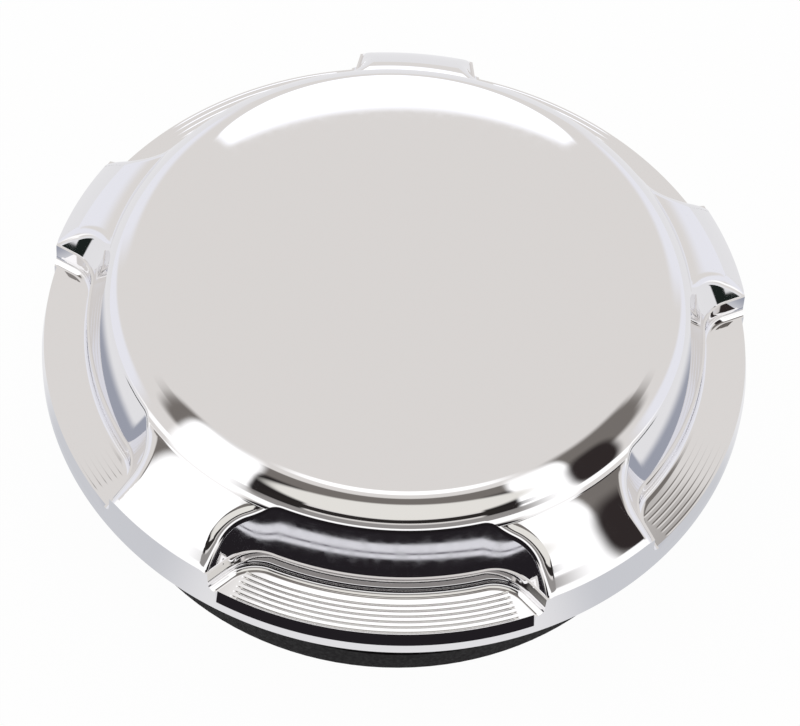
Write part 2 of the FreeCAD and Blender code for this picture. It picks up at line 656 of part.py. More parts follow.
# The moulded plug that screws into the filler neck
plug = new_body("thread_plug")
revolve(
    plug,
    draw(plug, "plug_section", "XZ_Plane", [
        (SKIRT_INNER, "0"),
        (minus(SKIRT_RADIUS, size("skirt_edge")), "0"),
        (SKIRT_RADIUS, size("skirt_edge")),
        (SKIRT_RADIUS, size("thread_bottom")),
        (THREAD_RADIUS, size("thread_bottom")),
        (THREAD_RADIUS, size("thread_top")),
        (SKIRT_RADIUS, size("thread_top")),
        (SKIRT_RADIUS, FLANGE_BOTTOM),
        (FLANGE_RADIUS, FLANGE_BOTTOM),
        (FLANGE_RADIUS, FLANGE_TOP),
        (NECK_RADIUS, FLANGE_TOP),
        (NECK_RADIUS, HUB_BOTTOM),
        (HUB_RADIUS, HUB_BOTTOM),
        (HUB_RADIUS, DECK_TOP),
        (DECK_BORE, DECK_TOP),
        (DECK_BORE, DECK_BOTTOM),
        (HUB_HOLLOW, DECK_BOTTOM),
        (HUB_HOLLOW, FLANGE_BOTTOM),
        (SKIRT_INNER, FLANGE_BOTTOM),
    ]),
    "plug_turned",
)
RIB_OUTER = plus(SKIRT_INNER, half(size("skirt_wall")))
RIB_TOP = plus(FLANGE_BOTTOM, half(size("flange_thickness")))
RIB_FOOT = minus(FLANGE_BOTTOM, size("rib_depth"))
rib = pad(
    plug,
    draw(plug, "rib_outline", "XZ_Plane", [
        (HUB_HOLLOW, FLANGE_BOTTOM),
        (SKIRT_INNER, RIB_FOOT),
        (RIB_OUTER, RIB_FOOT),
        (RIB_OUTER, RIB_TOP),
        (HUB_HOLLOW, RIB_TOP),
    ]),
    "rib",
    size("rib_thickness"),
    both_sides=True,
)
pattern(plug, [rib], size("rib_count"), "ribs")
SCREW_HOLE_DEPTH = plus(size("valve_screw_grip"), size("valve_screw_tip_gap"))
SCREW_START = "180 / %s" % size("valve_screw_count")
SCREW_PLACE = polar(size("valve_screw_circle"), SCREW_START)
screw_hole = cut_through(
    plug,
    circle_sketch(
        plug,
        "screw_hole_outline",
        SCREW_PLACE[0],
        SCREW_PLACE[1],
        size("valve_screw_radius"),
        DECK_BOTTOM,
    ),
    "screw_hole",
    SCREW_HOLE_DEPTH,
    True,
)
pattern(plug, [screw_hole], size("valve_screw_count"), "screw_holes")
LUG_MIDDLE = half(plus(PAWL_HUB_INNER, PAWL_HUB_OUTER))


def lug_outline(body, name, clearance):
    """Square about the middle of the pawl ring's hub, grown by a clearance."""
    side = plus(half(size("lug_size")), clearance)
    inner, outer = minus(LUG_MIDDLE, side), plus(LUG_MIDDLE, side)
    return draw(body, name, "XY_Plane", box_corners(inner, outer, times("-1", side), side), DECK_TOP)


lug_seat = cut_through(
    plug,
    lug_outline(plug, "lug_seat_outline", size("lug_clearance")),
    "lug_seat",
    plus(size("lug_depth"), size("lug_clearance")),
    False,
)
pattern(plug, [lug_seat], size("pawl_count"), "lug_seats")
parts.append(plug)

# The flat gasket under the flange
turned_part(
    "sealing_gasket",
    box_corners(
        GASKET_INNER,
        FLANGE_RADIUS,
        minus(FLANGE_BOTTOM, size("gasket_thickness")),
        FLANGE_BOTTOM,
    ),
)

# The split ring in the shell's groove, under the hub
SNAP_BOTTOM = plus(GROOVE_BOTTOM, size("snap_ring_clearance"))
SNAP_TOP = plus(SNAP_BOTTOM, size("snap_ring_thickness"))
snap = turned_part("snap_ring", box_corners(SNAP_INNER, SNAP_OUTER, SNAP_BOTTOM, SNAP_TOP))
HALF_GAP = half(size("snap_ring_gap"))
cut_through(
    snap,
    draw(
        snap,
        "gap_outline",
        "XY_Plane",
        box_corners("0", plus(SNAP_OUTER, "1"), times("-1", HALF_GAP), HALF_GAP),
        SNAP_TOP,
    ),
    "gap",
    plus(size("snap_ring_thickness"), "1"),
    False,
)

# The ratchet ring: saw teeth whose steep sides carry the plug open
ratchet = new_body("ratchet_ring")
ring_section = box_corners(TOOTH_ROOT, RATCHET_RADIUS, RATCHET_BOTTOM, BORE_TOP)
revolve(ratchet, draw(ratchet, "ring_section", "XZ_Plane", ring_section), "ring_turned")
PITCH_ANGLE = "360 / (%s)" % TOOTH_COUNT
TOOTH_BACK = half(plus(TOOTH_ROOT, RATCHET_RADIUS))
tooth = pad(
    ratchet,
    draw(ratchet, "tooth_outline", "XY_Plane", [
        (TOOTH_TIP, "0"),
        (TOOTH_BACK, "0"),
        polar(TOOTH_BACK, times("-0.9", PITCH_ANGLE)),
    ], RATCHET_BOTTOM),
    "tooth",
    minus(BORE_TOP, RATCHET_BOTTOM),
)
pattern(ratchet, [tooth], TOOTH_COUNT, "teeth")
ratchet_key = cut_through(
    ratchet,
    circle_sketch(ratchet, "key_outline", BORE_RADIUS, "0", KEY_SEAT, BORE_TOP),
    "key_slot",
    plus(minus(BORE_TOP, RATCHET_BOTTOM), "1"),
    False,
)
pattern(ratchet, [ratchet_key], size("key_count"), "key_slots")
parts.append(ratchet)


def count_of(name):
    return int(round(amount_of(size(name))))


def cylinder(name, across, along, height, radius, length):
    """Upright cylinder whose place and size are tied to the sheet."""
    round_bar = doc.addObject("Part::Cylinder", name)
    round_bar.setExpression("Radius", radius)
    round_bar.setExpression("Height", length)
    round_bar.setExpression("Placement.Base.x", across)
    round_bar.setExpression("Placement.Base.y", along)
    round_bar.setExpression("Placement.Base.z", height)
    return round_bar


def compound(label, links):
    """Like pieces that share one name."""
    group = doc.addObject("Part::Compound", label)
    group.Label = label
    group.Links = links
    parts.append(group)
    return group


def around(radius, count, index, start="0"):
    """Place of one of so many copies round Z, the first at a start angle."""
    return polar(radius, "%s + %d * 360 / %s" % (start, index, size(count)))


# Keys that lock the ratchet ring to the shell
keys = []
for index in range(count_of("key_count")):
    across, along = around(BORE_RADIUS, "key_count", index)
    length = minus(BORE_TOP, RATCHET_BOTTOM)
    keys.append(cylinder("key_%d" % index, across, along, RATCHET_BOTTOM, size("key_radius"), length))
compound("ring_keys", keys)

# The pawl ring: sprung arms whose tips sit in the ratchet
pawl = new_body("pawl_ring")
PAWL_TOP = minus(BORE_TOP, size("pawl_top_gap"))
hub_section = box_corners(PAWL_HUB_INNER, PAWL_HUB_OUTER, DECK_TOP, PAWL_TOP)
revolve(pawl, draw(pawl, "hub_section", "XZ_Plane", hub_section), "hub_turned")
ARM_BOTTOM = plus(RATCHET_BOTTOM, size("pawl_lift"))
ARM_ROOT_RADIUS = plus(LUG_MIDDLE, times("0.25", size("pawl_hub_width")))
PAWL_REACH = minus(TOOTH_ROOT, size("pawl_clearance"))
TIP_ANGLE = "%s / (%s) * 180 / pi" % (size("pawl_clearance"), PAWL_REACH)
WEDGE_ANGLE = plus(TIP_ANGLE, size("pawl_tip_sweep"))
ARM_END = plus(TIP_ANGLE, size("pawl_arm_sweep"))
ARM_ROOT = minus(ARM_END, size("pawl_root_sweep"))
arm = pad(
    pawl,
    draw(pawl, "arm_outline", "XY_Plane", [
        polar(ARM_INNER, TIP_ANGLE),
        polar(PAWL_REACH, TIP_ANGLE),
        polar(ARM_OUTER, WEDGE_ANGLE) + (ARM_OUTER, 1),
        polar(ARM_OUTER, ARM_END),
        polar(ARM_ROOT_RADIUS, ARM_END),
        polar(ARM_ROOT_RADIUS, ARM_ROOT),
        polar(ARM_INNER, ARM_ROOT) + (ARM_INNER, -1),
    ], ARM_BOTTOM),
    "arm",
    minus(PAWL_TOP, ARM_BOTTOM),
)
pattern(pawl, [arm], size("pawl_count"), "arms")
lug = pad(pawl, lug_outline(pawl, "lug_outline", "0"), "lug", size("lug_depth"), downward=True)
pattern(pawl, [lug], size("pawl_count"), "lugs")
parts.append(pawl)

# The valve housing, screwed up against the deck
SEAT_INNER = minus(size("seat_radius"), half(size("seat_width")))
SEAT_OUTER = plus(size("seat_radius"), half(size("seat_width")))
HOUSING_MIDDLE = half(plus(DECK_BOTTOM, DECK_TOP))
GROOVE_LOW = minus(HOUSING_MIDDLE, half(size("ring_groove_width")))
GROOVE_HIGH = plus(HOUSING_MIDDLE, half(size("ring_groove_width")))
housing = turned_part("valve_housing", [
    (size("inlet_radius"), HOUSING_BOTTOM),
    (SPIGOT_INNER, HOUSING_BOTTOM),
    (SPIGOT_INNER, minus(HOUSING_BOTTOM, size("spigot_height"))),
    (size("spigot_radius"), minus(HOUSING_BOTTOM, size("spigot_height"))),
    (size("spigot_radius"), HOUSING_BOTTOM),
    (size("housing_foot_radius"), HOUSING_BOTTOM),
    (size("housing_foot_radius"), HOUSING_FLANGE_BOTTOM),
    (size("housing_flange_radius"), HOUSING_FLANGE_BOTTOM),
    (size("housing_flange_radius"), DECK_BOTTOM),
    (size("housing_radius"), DECK_BOTTOM),
    (size("housing_radius"), GROOVE_LOW),
    (RING_GROOVE_RADIUS, GROOVE_LOW),
    (RING_GROOVE_RADIUS, GROOVE_HIGH),
    (size("housing_radius"), GROOVE_HIGH),
    (size("housing_radius"), HOUSING_TOP),
    (COVER_SEAT, HOUSING_TOP),
    (COVER_SEAT, COVER_BOTTOM),
    (size("housing_bore_radius"), COVER_BOTTOM),
    (size("housing_bore_radius"), CHAMBER_FLOOR),
    (SEAT_OUTER, CHAMBER_FLOOR),
    (SEAT_OUTER, SEAT_TOP),
    (SEAT_INNER, SEAT_TOP),
    (SEAT_INNER, CHAMBER_FLOOR),
    (size("inlet_radius"), CHAMBER_FLOOR),
])
flange_hole = cut_through(
    housing,
    circle_sketch(
        housing,
        "flange_hole_outline",
        SCREW_PLACE[0],
        SCREW_PLACE[1],
        plus(size("valve_screw_radius"), size("valve_screw_clearance")),
        HOUSING_FLANGE_BOTTOM,
    ),
    "flange_hole",
    size("housing_flange_thickness"),
    True,
)
pattern(housing, [flange_hole], size("valve_screw_count"), "flange_holes")

ring_seal = doc.addObject("Part::Torus", "housing_o_ring")
ring_seal.Label = "housing_o_ring"
ring_seal.setExpression("Radius1", minus(DECK_BORE, half(size("ring_section"))))
ring_seal.setExpression("Radius2", half(size("ring_section")))
ring_seal.setExpression("Placement.Base.z", HOUSING_MIDDLE)
parts.append(ring_seal)

screws = []
for index in range(count_of("valve_screw_count")):
    across, along = around(size("valve_screw_circle"), "valve_screw_count", index, SCREW_START)
    head_bottom = minus(HOUSING_FLANGE_BOTTOM, size("valve_screw_head_height"))
    shank_length = plus(size("housing_flange_thickness"), size("valve_screw_grip"))
    screw = doc.addObject("Part::Fuse", "valve_screw_%d" % index)
    screw.Base = cylinder(
        "head_%d" % index, across, along, head_bottom,
        size("valve_screw_head_radius"), size("valve_screw_head_height"),
    )
    screw.Tool = cylinder(
        "shank_%d" % index, across, along, head_bottom,
        size("valve_screw_radius"), plus(size("valve_screw_head_height"), shank_length),
    )
    screws.append(screw)
compound("valve_screws", screws)

# The splash guard: a cup with windows, pushed over the housing's spigot
GUARD_INNER = plus(size("spigot_radius"), size("guard_fit"))
GUARD_OUTER = plus(GUARD_INNER, size("guard_wall"))
GUARD_BOTTOM = minus(HOUSING_BOTTOM, size("guard_depth"))
GUARD_FLOOR = plus(GUARD_BOTTOM, size("guard_wall"))
guard = turned_part("splash_guard", [
    ("0", GUARD_BOTTOM),
    (GUARD_OUTER, GUARD_BOTTOM),
    (GUARD_OUTER, HOUSING_BOTTOM),
    (GUARD_INNER, HOUSING_BOTTOM),
    (GUARD_INNER, GUARD_FLOOR),
    ("0", GUARD_FLOOR),
])
HALF_WINDOW = half(size("guard_window_width"))
window_outline = draw(
    guard,
    "window_outline",
    "XY_Plane",
    box_corners(half(GUARD_INNER), plus(GUARD_OUTER, "1"), times("-1", HALF_WINDOW), HALF_WINDOW),
    GUARD_FLOOR,
)
WINDOW_HEIGHT = minus(size("guard_depth"), size("guard_wall"), size("spigot_height"))
window = cut_through(guard, window_outline, "window", WINDOW_HEIGHT, True)
pattern(guard, [window], size("guard_window_count"), "windows")

# The valve: plate, seal and the small valve through them
SEAL_OUTER = plus(size("seat_radius"), size("pressure_seal_edge"))
SEAL_INNER = minus(SEAL_OUTER, size("pressure_seal_width"))
turned_part("pressure_seal", box_corners(SEAL_INNER, SEAL_OUTER, SEAT_TOP, PLATE_BOTTOM))
COLLAR_TOP = plus(PLATE_TOP, size("collar_height"))
COLLAR_INNER = minus(size("collar_radius"), size("collar_wall"))
turned_part("pressure_plate", [
    (PORT_RADIUS, PLATE_BOTTOM),
    (PLATE_RADIUS, PLATE_BOTTOM),
    (PLATE_RADIUS, PLATE_TOP),
    (size("collar_radius"), PLATE_TOP),
    (size("collar_radius"), COLLAR_TOP),
    (COLLAR_INNER, COLLAR_TOP),
    (COLLAR_INNER, PLATE_TOP),
    (PORT_RADIUS, PLATE_TOP),
])
CLIP_SEAT = minus(size("stem_radius"), size("clip_groove_depth"))
STEM_TOP = plus(CLIP_TOP, size("stem_end"))
turned_part("vacuum_valve", [
    ("0", minus(SEAT_TOP, size("vacuum_head_thickness"))),
    (size("vacuum_head_radius"), minus(SEAT_TOP, size("vacuum_head_thickness"))),
    (size("vacuum_head_radius"), SEAT_TOP),
    (size("stem_radius"), SEAT_TOP),
    (size("stem_radius"), CLIP_BOTTOM),
    (CLIP_SEAT, CLIP_BOTTOM),
    (CLIP_SEAT, CLIP_TOP),
    (size("stem_radius"), CLIP_TOP),
    (size("stem_radius"), STEM_TOP),
    ("0", STEM_TOP),
])
clip = turned_part("vacuum_clip", box_corners(CLIP_SEAT, size("clip_radius"), CLIP_BOTTOM, CLIP_TOP))
HALF_OPENING = half(size("clip_opening"))
clip_mouth = draw(
    clip,
    "mouth_outline",
    "XY_Plane",
    box_corners("0", plus(size("clip_radius"), "1"), times("-1", HALF_OPENING), HALF_OPENING),
    CLIP_TOP,
)
cut_through(clip, clip_mouth, "mouth", plus(size("clip_thickness"), "1"), False)


WIRE_SIDES = 8
WIRE_AREA_SHARE = "2 * pi / (%d * sin(360 / %d))" % (WIRE_SIDES, WIRE_SIDES)


def coil_spring(label, radius, wire, turns, bottom, top):
    """Wire with flat sides, of a round wire's section, along a helix between two seats."""
    reach = times(wire, "sqrt(%s)" % WIRE_AREA_SHARE)
    length = minus(top, bottom, times("2", reach))
    spine = doc.addObject("Part::Helix", label + "_line")
    spine.setExpression("Radius", radius)
    spine.setExpression("Height", length)
    spine.setExpression("Pitch", "(%s) / (%s)" % (length, turns))
    spine.setExpression("Placement.Base.z", plus(bottom, reach))
    section = doc.addObject("Part::RegularPolygon", label + "_wire")
    section.Polygon = WIRE_SIDES
    section.setExpression("Circumradius", reach)
    section.Placement.Rotation = FreeCAD.Rotation(FreeCAD.Vector(1, 0, 0), 90)
    section.setExpression("Placement.Base.x", radius)
    section.setExpression("Placement.Base.z", plus(bottom, reach))
    doc.recompute()
    spring = doc.addObject("Part::Sweep", label)
    spring.Label = label
    spring.Sections = [section]
    spring.Spine = (spine, ["Edge%d" % number for number in range(1, len(spine.Shape.Edges) + 1)])
    spring.Solid = True
    spring.Frenet = True
    parts.append(spring)
    return spring


coil_spring(
    "pressure_spring",
    size("pressure_spring_radius"),
    size("pressure_wire_radius"),
    size("pressure_turns"),
    PLATE_TOP,
    COVER_BOTTOM,
)
coil_spring(
    "vacuum_spring",
    size("vacuum_spring_radius"),
    size("vacuum_wire_radius"),
    size("vacuum_turns"),
    PLATE_TOP,
    CLIP_BOTTOM,
)

# The perforated cover and the felt over it
COVER_RADIUS = minus(COVER_SEAT, size("cover_fit"))
cover = turned_part("valve_cover", box_corners("0", COVER_RADIUS, COVER_BOTTOM, HOUSING_TOP))
vent_outline = circle_sketch(
    cover, "vent_outline", size("cover_hole_circle"), "0", size("cover_hole_radius"), HOUSING_TOP
)
vent = cut_through(cover, vent_outline, "vent", plus(size("cover_thickness"), "1"), False)
pattern(cover, [vent], size("cover_hole_count"), "vents")
turned_part(
    "vent_filter",
    box_corners("0", size("filter_radius"), HOUSING_TOP, plus(HOUSING_TOP, size("filter_thickness"))),
)


def wave_washer(label):
    """Thin ring whose faces rise and fall evenly as they go round."""
    inner = amount_of(plus(NECK_RADIUS, size("wave_step")))
    radii = (inner, inner + amount_of(size("wave_width")))
    low = amount_of(plus(DECK_TOP, size("wave_clearance")))
    rise, thick = amount_of(size("wave_height")), amount_of(size("wave_thickness"))
    waves = count_of("wave_count")
    steps = 8 * waves

    def rim_curve(radius, base):
        points = []
        for step in range(steps):
            turn = 2 * math.pi * step / steps
            height = base + rise * (1 - math.cos(waves * turn)) / 2
            points.append(FreeCAD.Vector(radius * math.cos(turn), radius * math.sin(turn), height))
        curve = Part.BSplineCurve()
        curve.interpolate(Points=points, PeriodicFlag=True)
        return curve.toShape()

    lower = [rim_curve(radius, low) for radius in radii]
    upper = [rim_curve(radius, low + thick) for radius in radii]
    faces = [
        Part.makeRuledSurface(lower[0], lower[1]),
        Part.makeRuledSurface(upper[0], upper[1]),
        Part.makeRuledSurface(lower[0], upper[0]),
        Part.makeRuledSurface(lower[1], upper[1]),
    ]
    solid = Part.makeSolid(Part.makeShell(faces))
    if solid.Volume < 0:
        solid.reverse()
    washer = doc.addObject("Part::Feature", label)
    washer.Label = label
    washer.Shape = solid
    washer.Placement = FreeCAD.Placement()
    parts.append(washer)
    return washer


wave_washer("wave_washer")

doc.recompute()
for thing in doc.Objects:
    if "Invalid" in thing.State or "Error" in thing.State:
        raise RuntimeError("%s could not be computed" % thing.Label)
os.makedirs("parts", exist_ok=True)
for part in parts:
    if part.Shape.isNull() or not part.Shape.isValid():
        raise RuntimeError("%s has no sound shape" % part.Label)
    part.Shape.exportStep("parts/%s.step" % part.Label)
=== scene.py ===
"""Looks of a screw-in fuel cap: a chromed dome with five finger pockets on a black threaded plug."""

import math

import bmesh
import bpy
import numpy as np
from mathutils import Matrix, Vector


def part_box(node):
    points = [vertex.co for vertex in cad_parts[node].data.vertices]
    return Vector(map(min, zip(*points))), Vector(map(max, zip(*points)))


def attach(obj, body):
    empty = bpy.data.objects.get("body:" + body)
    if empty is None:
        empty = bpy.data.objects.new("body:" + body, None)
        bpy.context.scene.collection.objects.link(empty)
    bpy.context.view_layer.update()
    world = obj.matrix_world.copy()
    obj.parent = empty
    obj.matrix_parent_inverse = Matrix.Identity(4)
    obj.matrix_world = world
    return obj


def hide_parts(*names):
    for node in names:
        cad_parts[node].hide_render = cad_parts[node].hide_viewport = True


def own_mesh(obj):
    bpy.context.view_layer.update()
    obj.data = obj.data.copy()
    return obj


bl_info = {
    "name": "Fuel cap",
    "version": (1, 0, 0),
    "blender": (4, 5, 0),
    "location": "3D View > Sidebar > Fuel cap",
    "description": "Chromed dome, threaded plug, seals and valve of a screw-in fuel cap",
    "category": "Object",
}

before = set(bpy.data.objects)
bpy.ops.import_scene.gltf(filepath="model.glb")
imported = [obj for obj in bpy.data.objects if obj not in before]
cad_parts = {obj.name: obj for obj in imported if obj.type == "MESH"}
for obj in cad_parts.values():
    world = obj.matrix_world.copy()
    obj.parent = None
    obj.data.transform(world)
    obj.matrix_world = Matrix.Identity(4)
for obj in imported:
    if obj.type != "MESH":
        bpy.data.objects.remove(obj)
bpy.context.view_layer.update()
MM = 0.001


def length(name, description, millimetres):
    """Length that a user can change, kept in metres."""
    return bpy.props.FloatProperty(
        name=name, description=description, default=millimetres * MM, unit="LENGTH", subtype="DISTANCE", precision=5
    )


def angle(name, description, degrees):
    """Angle that a user can change, kept in radians."""
    return bpy.props.FloatProperty(
        name=name, description=description, default=math.radians(degrees), unit="ROTATION", subtype="ANGLE"
    )


def srgb(hexadecimal, strength=1.0):
    """Linear colour of an sRGB hex value, times a strength."""
    channels = [int(hexadecimal[place:place + 2], 16) / 255 for place in (1, 3, 5)]
    linear = [c / 12.92 if c <= 0.04045 else ((c + 0.055) / 1.055) ** 2.4 for c in channels]
    return (*[c * strength for c in linear], 1.0)


class DomeSizes(bpy.types.PropertyGroup):
    """Outside sizes of the chromed dome; heights are above the foot of the plug."""

    rim_radius: length("Rim radius", "Outer radius at the lower edge of the rim", 42.0)
    rim_height: length("Rim height", "Height of the rim's lower edge", 14.7)
    band_top_radius: length("Band top radius", "Outer radius where the band meets the lobes", 41.6)
    band_top_height: length("Band top height", "Height of that edge", 21.1)
    button_radius: length("Button radius", "Radius of the crease round the button", 34.1)
    button_height: length("Button height", "Height of that crease", 25.7)
    crown_radius: length("Crown radius", "Radius where the crowned top meets the shoulder", 29.1)
    crown_height: length("Crown height", "Height of that edge", 28.5)
    top_height: length("Top height", "Height of the middle of the crown", 29.3)
    lobe_face_radius: length("Lobe face radius", "Radius of the arc down each lobe face", 15.6)
    crease_radius: length("Crease radius", "Polishing radius in the crease", 0.35)
    floor_height: length("Pocket floor height", "Height of the pocket floors", 18.2)
    ledge_height: length("Ledge height", "Height of the step in the pocket wall", 20.9)
    ledge_width: length("Ledge width", "Width of that step", 0.25)
    pocket_wall_radius: length("Pocket wall radius", "Radius of the inner pocket wall at the step", 36.05)
    pocket_corner_radius: length("Pocket corner radius", "Inner corner radius of a pocket", 5.0)
    pocket_half_angle: angle("Pocket half angle", "Half width of a pocket at the rim", 26.5)
    pocket_flare: angle("Pocket flare", "Angle of a side wall to the pocket's centre line", 45.0)
    upper_draft: angle("Upper draft", "Draft of the wall above the step", 24.0)
    lower_draft: angle("Lower draft", "Draft of the wall below the step", 4.0)
    roll_radius: length("Roll-over radius", "Rounding over the top edge of a pocket", 2.2)
    floor_fillet: length("Floor fillet", "Fillet between floor and wall", 0.9)
    lip_radius: length("Lip radius", "Radius where the pocket floor breaks off", 41.5)
    lip_height: length("Lip height", "Height where the bevel under the floor meets the band", 16.4)
    rim_round: length("Rim rounding", "Rounding of the rim's lower edge", 0.4)
    recess_radius: length("Recess radius", "Radius of the recess over the plug's flange", 39.9)
    recess_height: length("Recess height", "Height of the recess", 16.3)
    bore_radius: length("Bore radius", "Radius of the bore that holds the ratchet", 31.8)
    bore_height: length("Bore height", "Height of the bore's end", 25.0)
    groove_radius: length("Groove radius", "Radius of the snap ring's groove", 33.2)
    groove_bottom: length("Groove bottom", "Lower side of that groove", 17.0)
    groove_top: length("Groove top", "Upper side of that groove", 18.3)
    ring_count: bpy.props.IntProperty(name="Floor rings", description="Rings in a pocket floor", default=6, min=0)
    ring_pitch: length("Ring pitch", "From one ring to the next", 0.655)
    ring_width: length("Ring width", "Width of a ring's groove", 0.34)
    ring_depth: length("Ring depth", "Depth of the rings", 0.08)
    ring_margin: length("Ring margin", "From the outermost ring to the lip", 0.2)
    ring_half_angle: angle("Ring half angle", "Half the angle that the rings run over", 22.4)
    ring_polish: bpy.props.FloatProperty(
        name="Ring polish", description="Share of the rings polished away at the sides", default=0.85, min=0.0, max=1.0
    )
    floor_slope: angle("Floor slope", "Fall of the floor towards the lip", 10.0)


class PlugSizes(bpy.types.PropertyGroup):
    """Sizes of the plug's thread, of its gasket and of the valve's screws."""

    thread_radius: length("Thread radius", "Radius over the crests", 37.9)
    root_radius: length("Root radius", "Radius in the thread's groove", 36.62)
    thread_bottom: length("Thread bottom", "Lower end of the thread", 6.6)
    thread_top: length("Thread top", "Upper end of the thread", 10.7)
    thread_pitch: length("Thread pitch", "Rise of the thread in a turn", 3.0)
    root_width: length("Root width", "Width of the groove at its root", 0.5)
    flank_angle: angle("Flank angle", "Angle of a flank to a level plane", 30.0)
    gasket_inner: length("Gasket inner radius", "Inner radius of the gasket", 36.6)
    gasket_outer: length("Gasket outer radius", "Outer radius of the gasket", 39.3)
    gasket_bottom: length("Gasket bottom", "Lower face of the gasket", 11.6)
    gasket_top: length("Gasket top", "Upper face of the gasket", 13.5)
    gasket_rounding: length("Gasket rounding", "Radius round the gasket's edges", 0.45)
    screw_circle: length("Screw circle", "Radius of the circle of the screws", 14.2)
    screw_radius: length("Screw radius", "Radius of a shank", 1.4)
    head_radius: length("Head radius", "Radius of a head", 2.6)
    head_bottom: length("Head bottom", "Height of a head's outer face", 13.6)
    head_top: length("Head top", "Height of a head's seat", 15.2)
    screw_top: length("Screw end", "Height of a screw's end", 19.4)
    recess_depth: length("Recess depth", "Depth of the cross recess", 0.95)
    screw_count: bpy.props.IntProperty(name="Screws", description="Screws in the valve's flange", default=3, min=1)


class SpringSizes(bpy.types.PropertyGroup):
    """Sizes of the valve's two coil springs."""

    pressure_radius: length("Pressure spring radius", "Radius to the middle of the wire", 5.2)
    pressure_wire: length("Pressure wire", "Radius of the wire", 0.35)
    pressure_turns: bpy.props.FloatProperty(name="Pressure turns", description="Turns of wire", default=3.0, min=1.0)
    vacuum_radius: length("Vacuum spring radius", "Radius to the middle of the wire", 1.9)
    vacuum_wire: length("Vacuum wire", "Radius of the wire", 0.15)
    vacuum_turns: bpy.props.FloatProperty(name="Vacuum turns", description="Turns of wire", default=2.5, min=1.0)


class StageSizes(bpy.types.PropertyGroup):
    """Camera and studio of the product shot."""

    camera_elevation: angle("Camera elevation", "Angle of the view above the horizon", 53.70)
    camera_roll: angle("Camera roll", "How far the picture leans clockwise", 4.277)
    camera_distance: length("Camera distance", "From the lens to the rim's centre", 247.5)
    target_height: length("Target height", "Height of the point that the camera looks at", 14.7)
    floor_size: length("Floor size", "Side of the floor", 6000.0)


POCKETS = 5
# Steps of the dome's mesh: down the crown, its shoulder, the crease and a lobe, and across a lobe
CROWN_STEPS, SHOULDER_STEPS, CREASE_STEPS, LOBE_STEPS, LOBE_COLUMNS = 14, 12, 5, 12, 16
# Steps along half a pocket's outline: its inner wall, its corner and its side wall
INNER_COLUMNS, CORNER_COLUMNS, SIDE_COLUMNS = 25, 22, 20
# Steps down a pocket: roll-over, upper wall, lower wall, fillet, floor; and down the band
ROLL_STEPS, UPPER_STEPS, LOWER_STEPS, FILLET_STEPS, FLOOR_STEPS, BAND_STEPS = 12, 3, 2, 6, 4, 3
# How far out an edge is looked for and in how many halvings, the bevels under the rim, and how far
# the mesh's lines are spread beside a pocket
REACH = 14.0 * MM
BEVEL = 0.3 * MM
SPREAD = math.radians(1.0)
HALVINGS = 48
# Points nearer than this become one, in so many passes; and the least length of a direction
WELD = 0.0002 * MM
WELD_PASSES = 4
TINY = 1e-12
MIRROR = np.array([-1.0, 1.0, 1.0])


def shares(steps, first=0):
    """Even shares from 0 to 1, from the given one on."""
    return np.linspace(0.0, 1.0, steps + 1)[first:]


def halved(low, high, beyond):
    """Values between low and high at which beyond turns true."""
    for _ in range(HALVINGS):
        middle = (low + high) / 2
        past = beyond(middle)
        low, high = np.where(past, low, middle), np.where(past, middle, high)
    return middle


def unit(vectors):
    return vectors / np.maximum(np.linalg.norm(vectors, axis=-1, keepdims=True), TINY)


def level_way(bearing):
    """Level unit directions at each bearing."""
    return np.stack([np.cos(bearing), np.sin(bearing)], -1)


def raised(level, height):
    """Level points or directions with a height as their third part."""
    return np.concatenate([level, np.broadcast_to(height, level.shape[:-1])[..., None]], -1)


def polar(points):
    """Bearings without a jump, and radii, of a row of points."""
    return np.unwrap(np.arctan2(points[:, 1], points[:, 0])), np.hypot(points[:, 0], points[:, 1])


